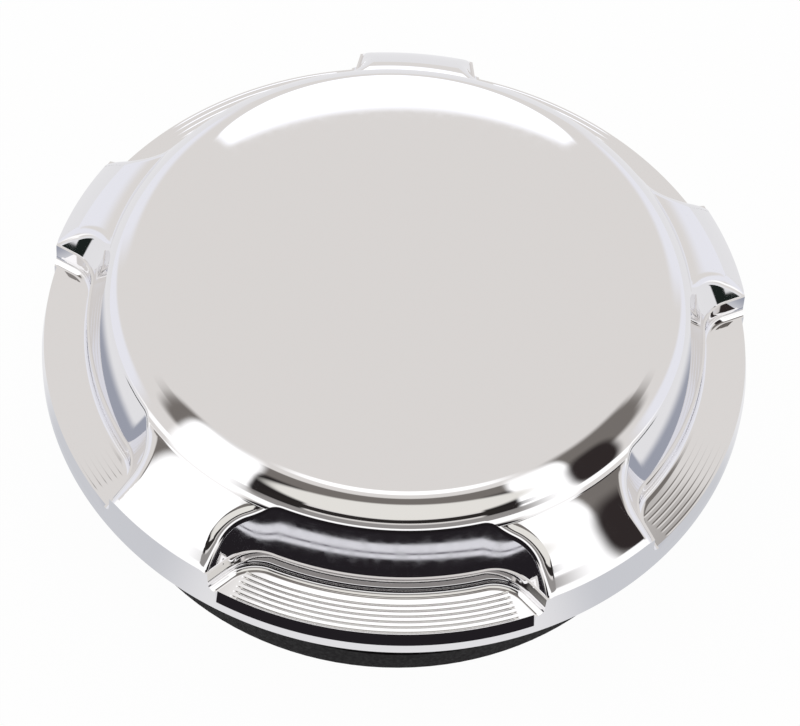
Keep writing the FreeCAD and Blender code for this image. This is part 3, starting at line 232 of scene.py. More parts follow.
class Surface:
    """Collects patches of a smooth surface, each a grid of points with the true normal at each."""

    def __init__(self):
        self.points, self.normals, self.corners = [], [], []
        self.count = 0

    def grid(self, points, normals):
        """Patch from arrays of rows x columns x 3."""
        rows, columns = points.shape[:2]
        index = self.count + np.arange(rows * columns).reshape(rows, columns)
        quads = np.stack([index[:-1, :-1], index[1:, :-1], index[1:, 1:], index[:-1, 1:]], -1).reshape(-1, 4)
        self.points.append(points.reshape(-1, 3))
        self.normals.append(normals.reshape(-1, 3))
        self.corners.append(quads)
        self.count += rows * columns

    def turned(self, directions, run):
        """Patch turned about Z: a run of radius, height and the normal's two parts, along unit directions."""
        points = [raised(directions * radius, height) for radius, height, _, _ in run]
        normals = [raised(directions * lean, lift) for _, _, lean, lift in run]
        self.grid(np.array(points), np.array(normals))

    def mesh(self, name):
        """Welded mesh with the patches' own normals on its corners."""
        points, normals = np.concatenate(self.points), np.concatenate(self.normals)
        quads = np.concatenate(self.corners)
        label = np.arange(len(points))
        for _ in range(WELD_PASSES):
            for shift in (0.0, 0.5):
                cells = np.floor(points / WELD + shift).astype(np.int64)
                _, cell = np.unique(cells, axis=0, return_inverse=True)
                cell = cell.reshape(-1)
                lowest = np.full(cell.max() + 1, len(points))
                np.minimum.at(lowest, cell, label)
                label = lowest[cell]
        kept, vertex = np.unique(label, return_inverse=True)
        vertex = vertex.reshape(-1)
        across = points[quads[:, 2]] - points[quads[:, 0]]
        along = points[quads[:, 3]] - points[quads[:, 1]]
        facing = np.einsum("ij,ij->i", np.cross(across, along), normals[quads].sum(1))
        quads[facing < 0] = quads[facing < 0][:, ::-1]
        faces, loop_normals = [], []
        for quad, ids in zip(quads, vertex[quads]):
            keep = [n for n in range(4) if ids[n] != ids[n - 1]]
            if len({ids[n] for n in keep}) < 3:
                continue
            faces.append([int(ids[n]) for n in keep])
            loop_normals.extend(normals[quad[n]] for n in keep)
        mesh = bpy.data.meshes.new(name)
        mesh.from_pydata(points[kept].tolist(), [], faces)
        mesh.polygons.foreach_set("use_smooth", [True] * len(mesh.polygons))
        mesh.normals_split_custom_set([tuple(n) for n in loop_normals])
        mesh.update()
        return mesh


class Dome:
    """Profile and pocket outline of the dome, worked out from its sizes."""

    def __init__(self, s):
        self.s = s
        drop = s.top_height - s.crown_height
        self.crown_ball = (s.crown_radius ** 2 + drop ** 2) / (2 * drop)
        tilt = math.asin(s.crown_radius / self.crown_ball)
        crown = np.array([s.crown_radius, s.crown_height])
        button = np.array([s.button_radius, s.button_height])
        band = np.array([s.band_top_radius, s.band_top_height])
        run, rise = button - crown
        self.shoulder = math.hypot(run, rise) / 2 / math.sin(math.atan2(-rise, run) - tilt)
        self.shoulder_middle = crown - self.shoulder * np.array([math.sin(tilt), math.cos(tilt)])
        run, rise = band - button
        chord = math.hypot(run, rise)
        reach = math.sqrt(s.lobe_face_radius ** 2 - chord ** 2 / 4)
        self.lobe_middle = (band + button) / 2 + reach / chord * np.array([rise, -run])
        first, second = self.shoulder + s.crease_radius, s.lobe_face_radius + s.crease_radius
        step = self.lobe_middle - self.shoulder_middle
        apart = math.hypot(*step)
        along = (first ** 2 - second ** 2 + apart ** 2) / (2 * apart)
        off = math.sqrt(first ** 2 - along ** 2)
        self.crease_middle = self.shoulder_middle + (along * step + off * step[::-1] * [-1, 1]) / apart
        start, end = self.crease_middle - self.shoulder_middle, self.crease_middle - self.lobe_middle
        self.crease_start = (self.shoulder_middle + self.shoulder / first * start)[0]
        self.crease_end = (self.lobe_middle + s.lobe_face_radius / second * end)[0]

    def top(self, radius):
        """Height of the top surface and its normal's two parts at each radius."""
        s = self.s
        ball = s.top_height - self.crown_ball
        arcs = (
            (radius <= s.crown_radius, 0.0, ball, self.crown_ball, 1),
            (radius <= self.crease_start, *self.shoulder_middle, self.shoulder, 1),
            (radius <= self.crease_end, *self.crease_middle, s.crease_radius, -1),
            (radius <= 1.0, *self.lobe_middle, s.lobe_face_radius, 1),
        )
        height, lean, lift = (np.zeros_like(radius) for _ in range(3))
        done = np.zeros(radius.shape, bool)
        for inside, middle, level, ball, bulge in arcs:
            here = inside & ~done
            done |= here
            off = radius[here] - middle
            up = np.sqrt(np.maximum(ball ** 2 - off ** 2, 0.0))
            height[here] = level + bulge * up
            lean[here], lift[here] = bulge * off / ball, up / ball
        return height, lean, lift

    def band_radius(self, height):
        """Radius of the band below the lobes at each height."""
        s = self.s
        share = (height - s.rim_height) / (s.band_top_height - s.rim_height)
        return s.rim_radius - (s.rim_radius - s.band_top_radius) * share

    def profile(self, start, into):
        """Wall profiles at stations of the outline: rows of offset and height, the way along, and the patch.

        start holds points on the outline at the step, into the level directions into the metal.
        """
        s = self.s
        lean, drop = math.sin(s.upper_draft), math.cos(s.upper_draft)

        def touch(offset):
            """Height of the top surface over each station, and its normal across the outline."""
            place = start + into * offset[:, None]
            radius = np.linalg.norm(place, axis=1)
            height, tip, lift = self.top(radius)
            tip = tip * np.einsum("ij,ij->i", place, into) / radius
            size = np.hypot(tip, lift)
            return height, tip / size, lift / size

        def clear_of_wall(offset):
            height, tip, lift = touch(offset)
            gap = (offset - s.roll_radius * tip) * drop
            gap -= (height - s.roll_radius * lift - s.ledge_height) * lean + s.roll_radius
            return gap >= 0

        offset = halved(np.zeros(len(start)), np.full(len(start), REACH), clear_of_wall)
        height, tip, lift = touch(offset)
        middle = np.stack([offset - s.roll_radius * tip, height - s.roll_radius * lift], 1)
        first = np.arctan2(lift, tip)
        short = middle[:, 1] + s.roll_radius * lean < s.ledge_height
        sink = np.clip((s.ledge_height - middle[:, 1]) / s.roll_radius, -1.0, 1.0)
        last = np.maximum(np.where(short, math.pi - np.arcsin(sink), math.pi - s.upper_draft), first)
        rows = []
        for share in shares(ROLL_STEPS):
            away = level_way(first + (last - first) * share)
            rows.append((middle + s.roll_radius * away, away[:, ::-1] * [-1, 1], 0))
        edge = rows[-1][0]
        foot = np.where(short[:, None], edge, [0.0, s.ledge_height])
        rows += [(edge + (foot - edge) * share, (-lean, -drop), 1) for share in shares(UPPER_STEPS)]
        inner = np.array([-s.ledge_width, s.ledge_height])
        rows += [(foot, (-1.0, 0.0), 2), (inner, (-1.0, 0.0), 2)]
        lean, drop = math.sin(s.lower_draft), math.cos(s.lower_draft)
        centre_height = s.floor_height + s.floor_fillet
        centre_off = -s.ledge_width + ((centre_height - s.ledge_height) * lean - s.floor_fillet) / drop
        centre = np.array([centre_off, centre_height])
        meet = centre + s.floor_fillet * np.array([drop, -lean])
        rows += [(inner + (meet - inner) * share, (-lean, -drop), 3) for share in shares(LOWER_STEPS)]
        for share in shares(FILLET_STEPS):
            away = level_way(-s.lower_draft - (math.pi / 2 - s.lower_draft) * share)
            rows.append((centre + s.floor_fillet * away, (away[1], -away[0]), 4))
        shape = (len(start), 2)
        return [(np.broadcast_to(place, shape), np.broadcast_to(way, shape), patch) for place, way, patch in rows]

    def outline(self):
        """Half outline at the step: points, ways into the metal, and the line that its side wall follows."""
        s = self.s
        flare = s.pocket_flare
        offset = s.rim_radius * math.sin(flare - s.pocket_half_angle)
        centre_off = offset + s.pocket_corner_radius
        run = math.sqrt((s.pocket_wall_radius + s.pocket_corner_radius) ** 2 - centre_off ** 2)
        side = np.array([math.sin(flare), math.cos(flare)])
        off = np.array([-math.cos(flare), math.sin(flare)])
        centre = off * centre_off + side * run
        inner = level_way(math.atan2(centre[0], centre[1]) * shares(INNER_COLUMNS))[:, ::-1]
        first, last = math.atan2(-centre[1], -centre[0]), math.atan2(-off[1], -off[0])
        corner = level_way(first + (last - first) * shares(CORNER_COLUMNS, 1))
        points = np.concatenate([inner * s.pocket_wall_radius, centre + corner * s.pocket_corner_radius])
        return points, np.concatenate([-inner, corner]), off * offset, side, -off, run

    def pocket(self):
        """Wall of the front pocket's right half, seen from above with the pocket towards +Y.

        Gives points and normals as rows x columns x 3, the patch of each row, and the column
        at the lip.
        """
        points, ways, base, side, away, run = self.outline()
        rows = self.profile(points, ways)

        def on_line(distance, row):
            start = base + side * distance[:, None]
            offset, way, _ = self.profile(start, np.tile(away, (len(distance), 1)))[row]
            return raised(start + away * offset[:, :1], offset[:, 1]), raised(away * way[:, :1], way[:, 1])

        def line_end(row, far, limit):
            """Distance along the side wall at which one of its rows reaches a radius."""
            def outside(distance):
                place, _ = on_line(distance, row)
                return np.linalg.norm(place[:, :2], axis=1) > limit(place[:, 2])

            return float(halved(np.array([run]), np.array([far]), outside)[0])

        ends = [line_end(row, run + REACH, self.band_radius) for row in range(len(rows))]
        lip_share = (line_end(-1, ends[-1], lambda height: self.s.lip_radius) - run) / (ends[-1] - run)
        along = shares(SIDE_COLUMNS, 1)
        nearest = int(np.argmin(np.abs(along[:-1] - lip_share)))
        along[nearest] = lip_share
        places, runs = [], []
        for row, (offset, way, _) in enumerate(rows):
            place, line = on_line(run + (ends[row] - run) * along, row)
            places.append(np.concatenate([raised(points + ways * offset[:, :1], offset[:, 1]), place]))
            runs.append(np.concatenate([raised(ways * way[:, :1], way[:, 1]), line]))
        places = np.array(places)
        padded = np.concatenate([places[:, 1:2] * MIRROR, places], 1)
        span = np.gradient(padded, axis=1, edge_order=2)[:, 1:]
        normals = unit(np.cross(np.array(runs), span))
        normals[normals[:, :, 2].mean(1) < 0] *= -1
        return places, normals, [patch for _, _, patch in rows], len(points) + nearest


def dome_mesh(s):
    """Closed mesh of the chromed shell."""
    dome = Dome(s)
    half, half_normals, patches, lip_column = dome.pocket()
    wall, wall_normals = (np.concatenate([part[:, ::-1] * MIRROR, part[:, 1:]], 1) for part in (half, half_normals))
    middle_column = half.shape[1] - 1
    lip = (middle_column - lip_column, middle_column + lip_column)
    surface = Surface()
    tilt = math.asin(s.crown_radius / dome.crown_ball)
    steep = math.asin((dome.crease_start - dome.shoulder_middle[0]) / dome.shoulder)
    shoulder = tilt + (steep - tilt) * shares(SHOULDER_STEPS, 1)
    fixed = np.concatenate([
        np.linspace(0.0, s.crown_radius, CROWN_STEPS + 1),
        dome.shoulder_middle[0] + dome.shoulder * np.sin(shoulder),
        np.linspace(dome.crease_start, dome.crease_end, CREASE_STEPS + 1)[1:],
    ])
    beyond = shares(LOBE_STEPS, 1)[:, None]

    def top_patch(radius, bearing, inner):
        """Lines from the middle to the crease, at the inner bearings, and on to each boundary point."""
        reach = np.minimum(radius, dome.crease_end)
        grid = np.concatenate([np.minimum(fixed[:, None], radius), reach + (radius - reach) * beyond])
        height, lean, lift = dome.top(grid)
        share = np.concatenate([np.zeros((len(fixed), 1)), beyond])
        way = level_way(inner + (bearing - inner) * share)
        surface.grid(raised(grid[..., None] * way, height), raised(lean[..., None] * way, lift))

    def inner_bearings(radius, bearing):
        """Bearings that keep their order where the roll-over's edge bends back beyond the crease."""
        middle = len(bearing) // 2
        inner = bearing.copy()
        spare = SPREAD * np.clip((radius - dome.crease_end) / (s.band_top_radius - dome.crease_end), 0, 1)
        for side in (slice(middle, None), slice(middle, None, -1)):
            off = bearing[side] - bearing[middle]
            sign = 1.0 if off[-1] > 0 else -1.0
            inner[side] = bearing[middle] + sign * (np.maximum.accumulate(off * sign) + spare[side])
        return inner

    lip_foot = dome.band_radius(s.lip_height)
    band_edge, inner_ends = [], []
    for pocket in range(POCKETS):
        spin = 2 * math.pi * pocket / POCKETS - math.pi
        cosine, sine = math.cos(spin), math.sin(spin)
        turned = np.array([[cosine, sine, 0.0], [-sine, cosine, 0.0], [0.0, 0.0, 1.0]])
        here, there = wall @ turned, wall_normals @ turned
        for patch in range(max(patches) + 1):
            rows = [row for row, number in enumerate(patches) if number == patch]
            surface.grid(here[rows], there[rows])
        bearing, radius = polar(here[0])
        inner = inner_bearings(radius, bearing)
        inner_ends.append((inner.min(), inner.max()))
        top_patch(radius, bearing, inner)
        foot_bearing, foot_radius = polar(here[-1, lip[0]:lip[1] + 1])
        foot_way = level_way(foot_bearing)
        rings = foot_radius + (s.lip_radius - foot_radius) * shares(FLOOR_STEPS)[:, None]
        floor = raised(rings[..., None] * foot_way, s.floor_height)
        surface.grid(floor, np.broadcast_to([0.0, 0.0, 1.0], floor.shape))
        surface.turned(foot_way, straight((lip_foot, s.lip_height), (s.lip_radius, s.floor_height)))
        lower = raised(foot_way * lip_foot, s.lip_height)
        for end, foot_end in ((0, here[-1, :lip[0] + 1]), (-1, here[-1, lip[1]:])):
            below = np.tile(lower[end], (len(foot_end), 1))
            face = unit(np.cross(foot_end[-1] - foot_end[0], below[0] - foot_end[0]))
            inward = foot_way[len(foot_way) // 2] - foot_way[end]
            face = face if face[:2] @ inward > 0 else -face
            surface.grid(np.array([foot_end, below]), np.tile(face, (2, len(foot_end), 1)))
        band_edge.append(np.concatenate([here[:, -1], lower[::-1], here[::-1, 0]]))
    for pocket in range(POCKETS):
        following = (pocket + 1) % POCKETS
        first, last = (math.atan2(y, x) for x, y, _ in (band_edge[pocket][-1], band_edge[following][0]))
        last += 2 * math.pi * (last < first)
        bearing = np.linspace(first, last, LOBE_COLUMNS + 1)
        low, high = inner_ends[pocket][1], inner_ends[following][0]
        low += 2 * math.pi * round((first - low) / (2 * math.pi))
        high += 2 * math.pi * round((last - high) / (2 * math.pi))
        top_patch(np.full(len(bearing), s.band_top_radius), bearing, np.linspace(low, high, len(bearing)))
        lobe_edge = raised(level_way(bearing[1:-1]) * s.band_top_radius, s.band_top_height)
        band_edge[pocket] = np.concatenate([band_edge[pocket], lobe_edge])
    chain = np.concatenate(band_edge + [band_edge[0][:1]])
    way = unit(chain[:, :2])
    low = s.rim_height + s.rim_round
    heights = [chain[:, 2] + (low - chain[:, 2]) * share for share in shares(BAND_STEPS)]
    rows = np.array([raised(way * dome.band_radius(height)[:, None], height) for height in heights])
    outward = unit(np.array([s.band_top_height - s.rim_height, s.rim_radius - s.band_top_radius]))
    surface.grid(rows, np.broadcast_to(raised(way * outward[0], outward[1]), rows.shape))
    edge = float(dome.band_radius(low)) - s.rim_round
    surface.turned(way, arc(edge, low, s.rim_round, 0, -90))
    under = (
        (edge, s.rim_height),
        (s.recess_radius + BEVEL, s.rim_height),
        (s.recess_radius, s.rim_height + BEVEL),
        (s.recess_radius, s.recess_height),
        (s.bore_radius + BEVEL, s.recess_height),
        (s.bore_radius, s.recess_height + BEVEL),
        (s.bore_radius, s.groove_bottom),
        (s.groove_radius, s.groove_bottom),
        (s.groove_radius, s.groove_top),
        (s.bore_radius, s.groove_top),
        (s.bore_radius, s.bore_height),
        (0.0, s.bore_height),
    )
    for start, end in zip(under, under[1:]):
        surface.turned(way, straight(end, start))
    return surface.mesh("chromed_dome")


def scene_object(name, mesh):
    thing = bpy.data.objects.new(name, mesh)
    bpy.context.scene.collection.objects.link(thing)
    return thing


# Names under which nodes keep their mode
MODES = ("operation", "interpolation_type", "data_type")
WHITE = (1.0, 1.0, 1.0, 1.0)


def node(tree, kind, *inputs, out=0, **named):
    """Adds a node and gives one of its outputs, or the node itself where out is None.

    kind may end with a dot and the node's operation or other mode. Inputs are values or other
    nodes' outputs, by order or by name.
    """
    kind, _, mode = kind.partition(".")
    added = tree.nodes.new("ShaderNode" + kind)
    if mode:
        setattr(added, next(name for name in MODES if hasattr(added, name)), mode)
    for place, value in (*enumerate(inputs), *named.items()):
        socket = added.inputs[place.replace("_", " ") if isinstance(place, str) else place]
        if isinstance(value, bpy.types.NodeSocket):
            tree.links.new(value, socket)
        elif value is not None:
            socket.default_value = value
    return added if out is None else added.outputs[out]


def layered(tree, tone, layers):
    """Colour with others laid over it in turn, each where its mask is 1."""
    for mask, shade in layers:
        tone = node(tree, "Mix.RGBA", mask, *[None] * 5, tone, shade, out=2)
    return tone


def product(tree, first, *others):
    for other in others:
        first = node(tree, "Math.MULTIPLY", first, other)
    return first


def soft_zone(tree, value, start, end, soft):
    """1 between start and end, 0 outside."""
    rise = node(tree, "MapRange.SMOOTHSTEP", value, start - soft, start + soft)
    return product(tree, rise, node(tree, "MapRange.SMOOTHSTEP", value, end - soft, end + soft, 1.0, 0.0))


def bearing_of(tree, parts):
    """Bearing from the front, in radians."""
    return node(tree, "Math.ARCTAN2", parts[0], node(tree, "Math.MULTIPLY", parts[1], -1.0))


def new_material(name):
    """Empty material, its node tree and the place on the piece."""
    material = bpy.data.materials.new(name)
    material.use_nodes = True
    tree = material.node_tree
    tree.nodes.clear()
    return material, tree, node(tree, "TexCoord", out="Object")


# Bearings from the front, in half turns from pocket to pocket: the rings are crisp in the front pocket
# and polished down beyond it, and the floors at the back are flat
POLISHED = (1.0, 1.45)
FLAT = (2.95, 3.05)
RING_END = 0.03
# How far a floor's finish reaches above and below the floor, and where it is gone
FLOOR_EDGE = (0.02 * MM, 0.06 * MM)


def turned_floors(tree, place, s):
    """Normal of the pocket floors, dished and ringed by the cutter, and plain elsewhere."""
    parts = node(tree, "SeparateXYZ", place, out=None).outputs
    level = node(tree, "CombineXYZ", parts[0], parts[1])
    radius = node(tree, "VectorMath.LENGTH", level, out="Value")
    bearing = bearing_of(tree, parts)
    aside = node(tree, "Math.ABSOLUTE", bearing)
    half_turn = math.pi / POCKETS
    polished, flat = ([share * half_turn for share in pair] for pair in (POLISHED, FLAT))
    crisp = node(tree, "MapRange.SMOOTHSTEP", aside, *polished, 1.0, 1.0 - s.ring_polish)
    front = node(tree, "MapRange.SMOOTHSTEP", aside, *flat, 1.0, 0.0)
    bearing = node(tree, "Math.ABSOLUTE", node(tree, "Math.WRAP", bearing, half_turn, -half_turn))
    along = node(tree, "MapRange.SMOOTHSTEP", bearing, s.ring_half_angle - RING_END, s.ring_half_angle, 1.0, 0.0)
    half_pitch = s.ring_pitch / 2
    span = s.ring_count * half_pitch
    off = node(tree, "Math.SUBTRACT", radius, s.lip_radius - s.ring_margin - span + half_pitch)
    across = node(tree, "Math.LESS_THAN", node(tree, "Math.ABSOLUTE", off), span)
    off = node(tree, "Math.ADD", off, half_pitch * ((s.ring_count + 1) % 2))
    off = node(tree, "Math.ABSOLUTE", node(tree, "Math.WRAP", off, half_pitch, -half_pitch))
    groove = node(tree, "MapRange.SMOOTHSTEP", off, 0.0, s.ring_width / 2, -s.ring_depth, 0.0)
    groove = product(tree, groove, across, along, crisp)
    height = node(tree, "Math.SUBTRACT", groove, product(tree, radius, math.tan(s.floor_slope), front))
    bump = node(tree, "Bump", Strength=1.0, Distance=1.0, Height=height)
    floor = node(tree, "Math.ABSOLUTE", node(tree, "Math.SUBTRACT", parts[2], s.floor_height))
    floor = node(tree, "MapRange.SMOOTHSTEP", floor, *FLOOR_EDGE, 1.0, 0.0)
    floor = product(tree, floor, node(tree, "Math.LESS_THAN", radius, s.lip_radius + FLOOR_EDGE[0]))
    elsewhere = node(tree, "NewGeometry", out="Normal")
    mixed = node(tree, "Mix.VECTOR", floor, *[None] * 3, elsewhere, bump, out=1)
    return node(tree, "VectorMath.NORMALIZE", mixed)


def chrome_plate(s):
    """Bright chromium over polished aluminium: a mirror with the fine rings of the turned pockets.

    Its haze comes in cells of about 1 mm and dulls the mirror a little.
    """
    material, tree, place = new_material("chrome_plated_aluminium_polished")
    haze = node(tree, "TexNoise", Vector=place, Scale=900.0, Detail=3.0)
    rough = node(tree, "MapRange", haze, 0.35, 0.75, 0.018, 0.045)
    normal = turned_floors(tree, place, s)
    shader = node(tree, "BsdfPrincipled", Base_Color=srgb("#EEEDEE"), Metallic=1.0, Roughness=rough, Normal=normal)
    node(tree, "OutputMaterial", shader, out=None)
    return material


def plain(name, hexadecimal, roughness, metallic=0.0, shine=0.5):
    """Moulded, drawn or pressed surface: grain of 0.4 mm, and a tone that darkens in patches of about 5 mm."""
    material, tree, place = new_material(name)
    grain = node(tree, "TexNoise", Vector=place, Scale=2500.0, Detail=2.0)
    rough = node(tree, "MapRange", grain, 0.3, 0.7, roughness * 0.85, roughness * 1.15)
    bump = node(tree, "Bump", Strength=0.15, Distance=0.02 * MM, Height=grain)
    wear = node(tree, "TexNoise", Vector=place, Scale=220.0, Detail=4.0)
    worn = node(tree, "MapRange.SMOOTHSTEP", wear, 0.42, 0.75)
    tone = layered(tree, srgb(hexadecimal), [(worn, srgb(hexadecimal, 0.82))])
    sockets = {"Metallic": metallic, "Specular IOR Level": shine}
    shader = node(tree, "BsdfPrincipled", Base_Color=tone, Roughness=rough, Normal=bump, **sockets)
    node(tree, "OutputMaterial", shader, out=None)
    return material


def dress(name, material):
    """Gives a part kept from the CAD model its finish."""
    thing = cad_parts[name]
    thing.data.materials.clear()
    thing.data.materials.append(material)


def full_circle(steps):
    """Unit directions once round, the last the same as the first."""
    turns = np.linspace(0.0, 2 * math.pi, steps + 1)
    turns[-1] = 0.0
    return level_way(turns)


def turned_mesh(name, profile, steps):
    """Closed mesh of a profile turned about Z; each run of the profile has its own normals."""
    surface = Surface()
    for run in profile:
        surface.turned(full_circle(steps), run)
    return surface.mesh(name)


def arc(radius, height, size, first, last, steps=6):
    """Rounded corner of a profile, from one angle to another, with its normals."""
    run = []
    for share in np.linspace(0.0, 1.0, steps):
        turn = math.radians(first + (last - first) * share)
        away = (math.cos(turn), math.sin(turn))
        run.append((radius + size * away[0], height + size * away[1], *away))
    return run


def straight(start, end):
    """Flat stretch of a profile, with its outside on the right of the way along it."""
    run, rise = end[0] - start[0], end[1] - start[1]
    size = math.hypot(run, rise)
    return [(*start, rise / size, -run / size), (*end, rise / size, -run / size)]


def cut(thing, cutter):
    """Takes one closed mesh out of another."""
    bpy.ops.object.select_all(action="DESELECT")
    thing.select_set(True)
    bpy.context.view_layer.objects.active = thing
    modifier = thing.modifiers.new("cut", "BOOLEAN")
    modifier.operation, modifier.solver, modifier.object = "DIFFERENCE", "EXACT", cutter
    bpy.ops.object.modifier_apply(modifier="cut")
    bpy.data.objects.remove(cutter)


def merge(mesh, outwards=False):
    """Joins a mesh's faces where their corners meet, and turns them outwards if asked."""
    made = bmesh.new()
    made.from_mesh(mesh)
    bmesh.ops.remove_doubles(made, verts=made.verts, dist=WELD)
    if outwards:
        bmesh.ops.recalc_face_normals(made, faces=made.faces)
    made.to_mesh(mesh)
    made.free()


# Steps in a turn of the thread, of a spring and round its wire, and how far the groove's cutter
# stands proud of the thread
THREAD_STEPS, SPRING_STEPS, WIRE_STEPS = 96, 48, 12
THREAD_CLEARANCE = 0.5 * MM


def thread_groove(s):
    """Closed body of the thread's groove, wound up the plug past both ends of the thread."""
    depth = s.thread_radius - s.root_radius + THREAD_CLEARANCE
    root = s.root_width / 2
    mouth = root + depth * math.tan(s.flank_angle)
    outer = s.root_radius + depth
    section = ((s.root_radius, -root), (s.root_radius, root), (outer, mouth), (outer, -mouth))
    low, high = s.thread_bottom - mouth, s.thread_top + mouth
    steps = int((high - low) / s.thread_pitch * THREAD_STEPS)
    points, faces = [], []
    for step in range(steps + 1):
        turn = 2 * math.pi * step / THREAD_STEPS
        rise = low + s.thread_pitch * step / THREAD_STEPS
        points += [(r * math.cos(turn), r * math.sin(turn), rise + z) for r, z in section]
    for here in range(0, 4 * steps, 4):
        for side in range(4):
            after = (side + 1) % 4
            faces.append((here + side, here + after, here + 4 + after, here + 4 + side))
    faces += [(3, 2, 1, 0), tuple(range(4 * steps, 4 * steps + 4))]
    mesh = bpy.data.meshes.new("groove")
    mesh.from_pydata(points, [], faces)
    merge(mesh, outwards=True)
    return scene_object("groove", mesh)


def spring_mesh(name, radius, wire, turns, low, high):
    """Round wire wound into a coil spring between two seats."""
    turn = np.linspace(0.0, 2 * math.pi * turns, int(turns * SPRING_STEPS) + 1)[:, None]
    rise = (high - low - 2 * wire) / (2 * math.pi * turns)
    out = np.concatenate([np.cos(turn), np.sin(turn), np.zeros_like(turn)], 1)
    middle = out * radius + np.array([0.0, 0.0, 1.0]) * (low + wire + rise * turn)
    along = unit(np.concatenate([-radius * np.sin(turn), radius * np.cos(turn), np.full_like(turn, rise)], 1))
    up = np.cross(out, along)
    section = full_circle(WIRE_STEPS)[None, :, :, None]
    away = section[:, :, 0] * out[:, None] + section[:, :, 1] * up[:, None]
    surface = Surface()
    surface.grid(middle[:, None] + wire * away, away)
    for end, side in ((0, -1.0), (-1, 1.0)):
        rim = middle[end] + wire * away[end]
        points = np.array([np.tile(middle[end], (len(rim), 1)), rim])
        surface.grid(points, np.tile(side * along[end], (2, len(rim), 1)))
    return surface.mesh(name)


# Cross recess: length and width of an arm at the head's face, their share at the bottom of the recess,
# and how far the cutter stands proud of the face
CROSS_LENGTH, CROSS_WIDTH, CROSS_TAPER, CROSS_PROUD = 2.9 * MM, 0.55 * MM, 0.55, 0.4 * MM


def cross_cutters(s):
    """Two tapered arms that cut a screw's recess."""
    arms = []
    for turn in (0.0, math.pi / 2):
        bpy.ops.object.select_all(action="DESELECT")
        bpy.ops.mesh.primitive_cube_add(size=1.0)
        arm = bpy.context.active_object
        cosine, sine = math.cos(turn), math.sin(turn)
        for vertex in arm.data.vertices:
            x, y, z = vertex.co
            share, rise = (CROSS_TAPER, s.recess_depth) if z > 0 else (1.0, -CROSS_PROUD)
            x, y = x * CROSS_LENGTH * share, y * CROSS_WIDTH * share
            vertex.co = (x * cosine - y * sine, x * sine + y * cosine, s.head_bottom + rise)
        arms.append(arm)
    return arms


# Camera of the product shot: focal length and frame width in millimetres, shift of the frame in
# shares of its width, and what it sees from and to in metres
FOCAL_LENGTH, FRAME_WIDTH = 92.7, 36.0
SHIFT = (0.0057, -0.0279)
CLIP = (0.01, 100.0)
# Steps round the gasket and a screw, and the angles past which their edges and the plug's stay sharp
GASKET_STEPS, SCREW_STEPS = 192, 48
PLUG_SMOOTH, SCREW_SMOOTH = math.radians(30), math.radians(35)
# Rounding of a screw's head, bevel at its end, and how far its recess and each next one is turned
HEAD_ROUNDING, SCREW_POINT = 0.8 * MM, 0.5 * MM
RECESS_TURN, RECESS_STEP = 0.4, 0.9


class FUELCAP_OT_dome(bpy.types.Operator):
    """Chromed dome with its five finger pockets"""

    bl_idname = "fuelcap.dome"
    bl_label = "Chromed dome"

    def execute(self, context):
        s = context.scene.dome_sizes
        dome = scene_object("chromed_dome", dome_mesh(s))
        dome.data.materials.append(chrome_plate(s))
        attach(dome, "cap")
        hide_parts("cap_shell")
        return {"FINISHED"}


class FUELCAP_OT_plug(bpy.types.Operator):
    """Black plug with its thread cut"""

    bl_idname = "fuelcap.plug"
    bl_label = "Threaded plug"

    def execute(self, context):
        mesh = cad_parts["thread_plug"].data.copy()
        merge(mesh)
        plug = scene_object("threaded_plug", mesh)
        cut(plug, thread_groove(context.scene.plug_sizes))
        bpy.ops.object.shade_smooth_by_angle(angle=PLUG_SMOOTH)
        plug.data.materials.clear()
        # Glass fibre leaves black nylon dull, with hardly a highlight
        plug.data.materials.append(plain("glass_filled_nylon_moulded_black", "#131012", 0.62, shine=0.08))
        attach(plug, "plug")
        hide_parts("thread_plug")
        return {"FINISHED"}


class FUELCAP_OT_gasket(bpy.types.Operator):
    """Rubber gasket with rounded edges"""

    bl_idname = "fuelcap.gasket"
    bl_label = "Gasket"

    def execute(self, context):
        s = context.scene.plug_sizes
        size = s.gasket_rounding
        inner, outer = s.gasket_inner + size, s.gasket_outer - size
        low, high = s.gasket_bottom + size, s.gasket_top - size
        profile = [
            arc(outer, low, size, -90, 0) + arc(outer, high, size, 0, 90)
            + arc(inner, high, size, 90, 180) + arc(inner, low, size, 180, 270) + arc(outer, low, size, -90, -89, 1)
        ]
        gasket = scene_object("moulded_gasket", turned_mesh("moulded_gasket", profile, GASKET_STEPS))
        # Rubber from a fine mould: dull, with a faint sheen on its round edges
        gasket.data.materials.append(plain("nitrile_rubber_moulded_gasket", "#191818", 0.7, shine=0.3))
        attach(gasket, "plug")
        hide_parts("sealing_gasket")
        return {"FINISHED"}


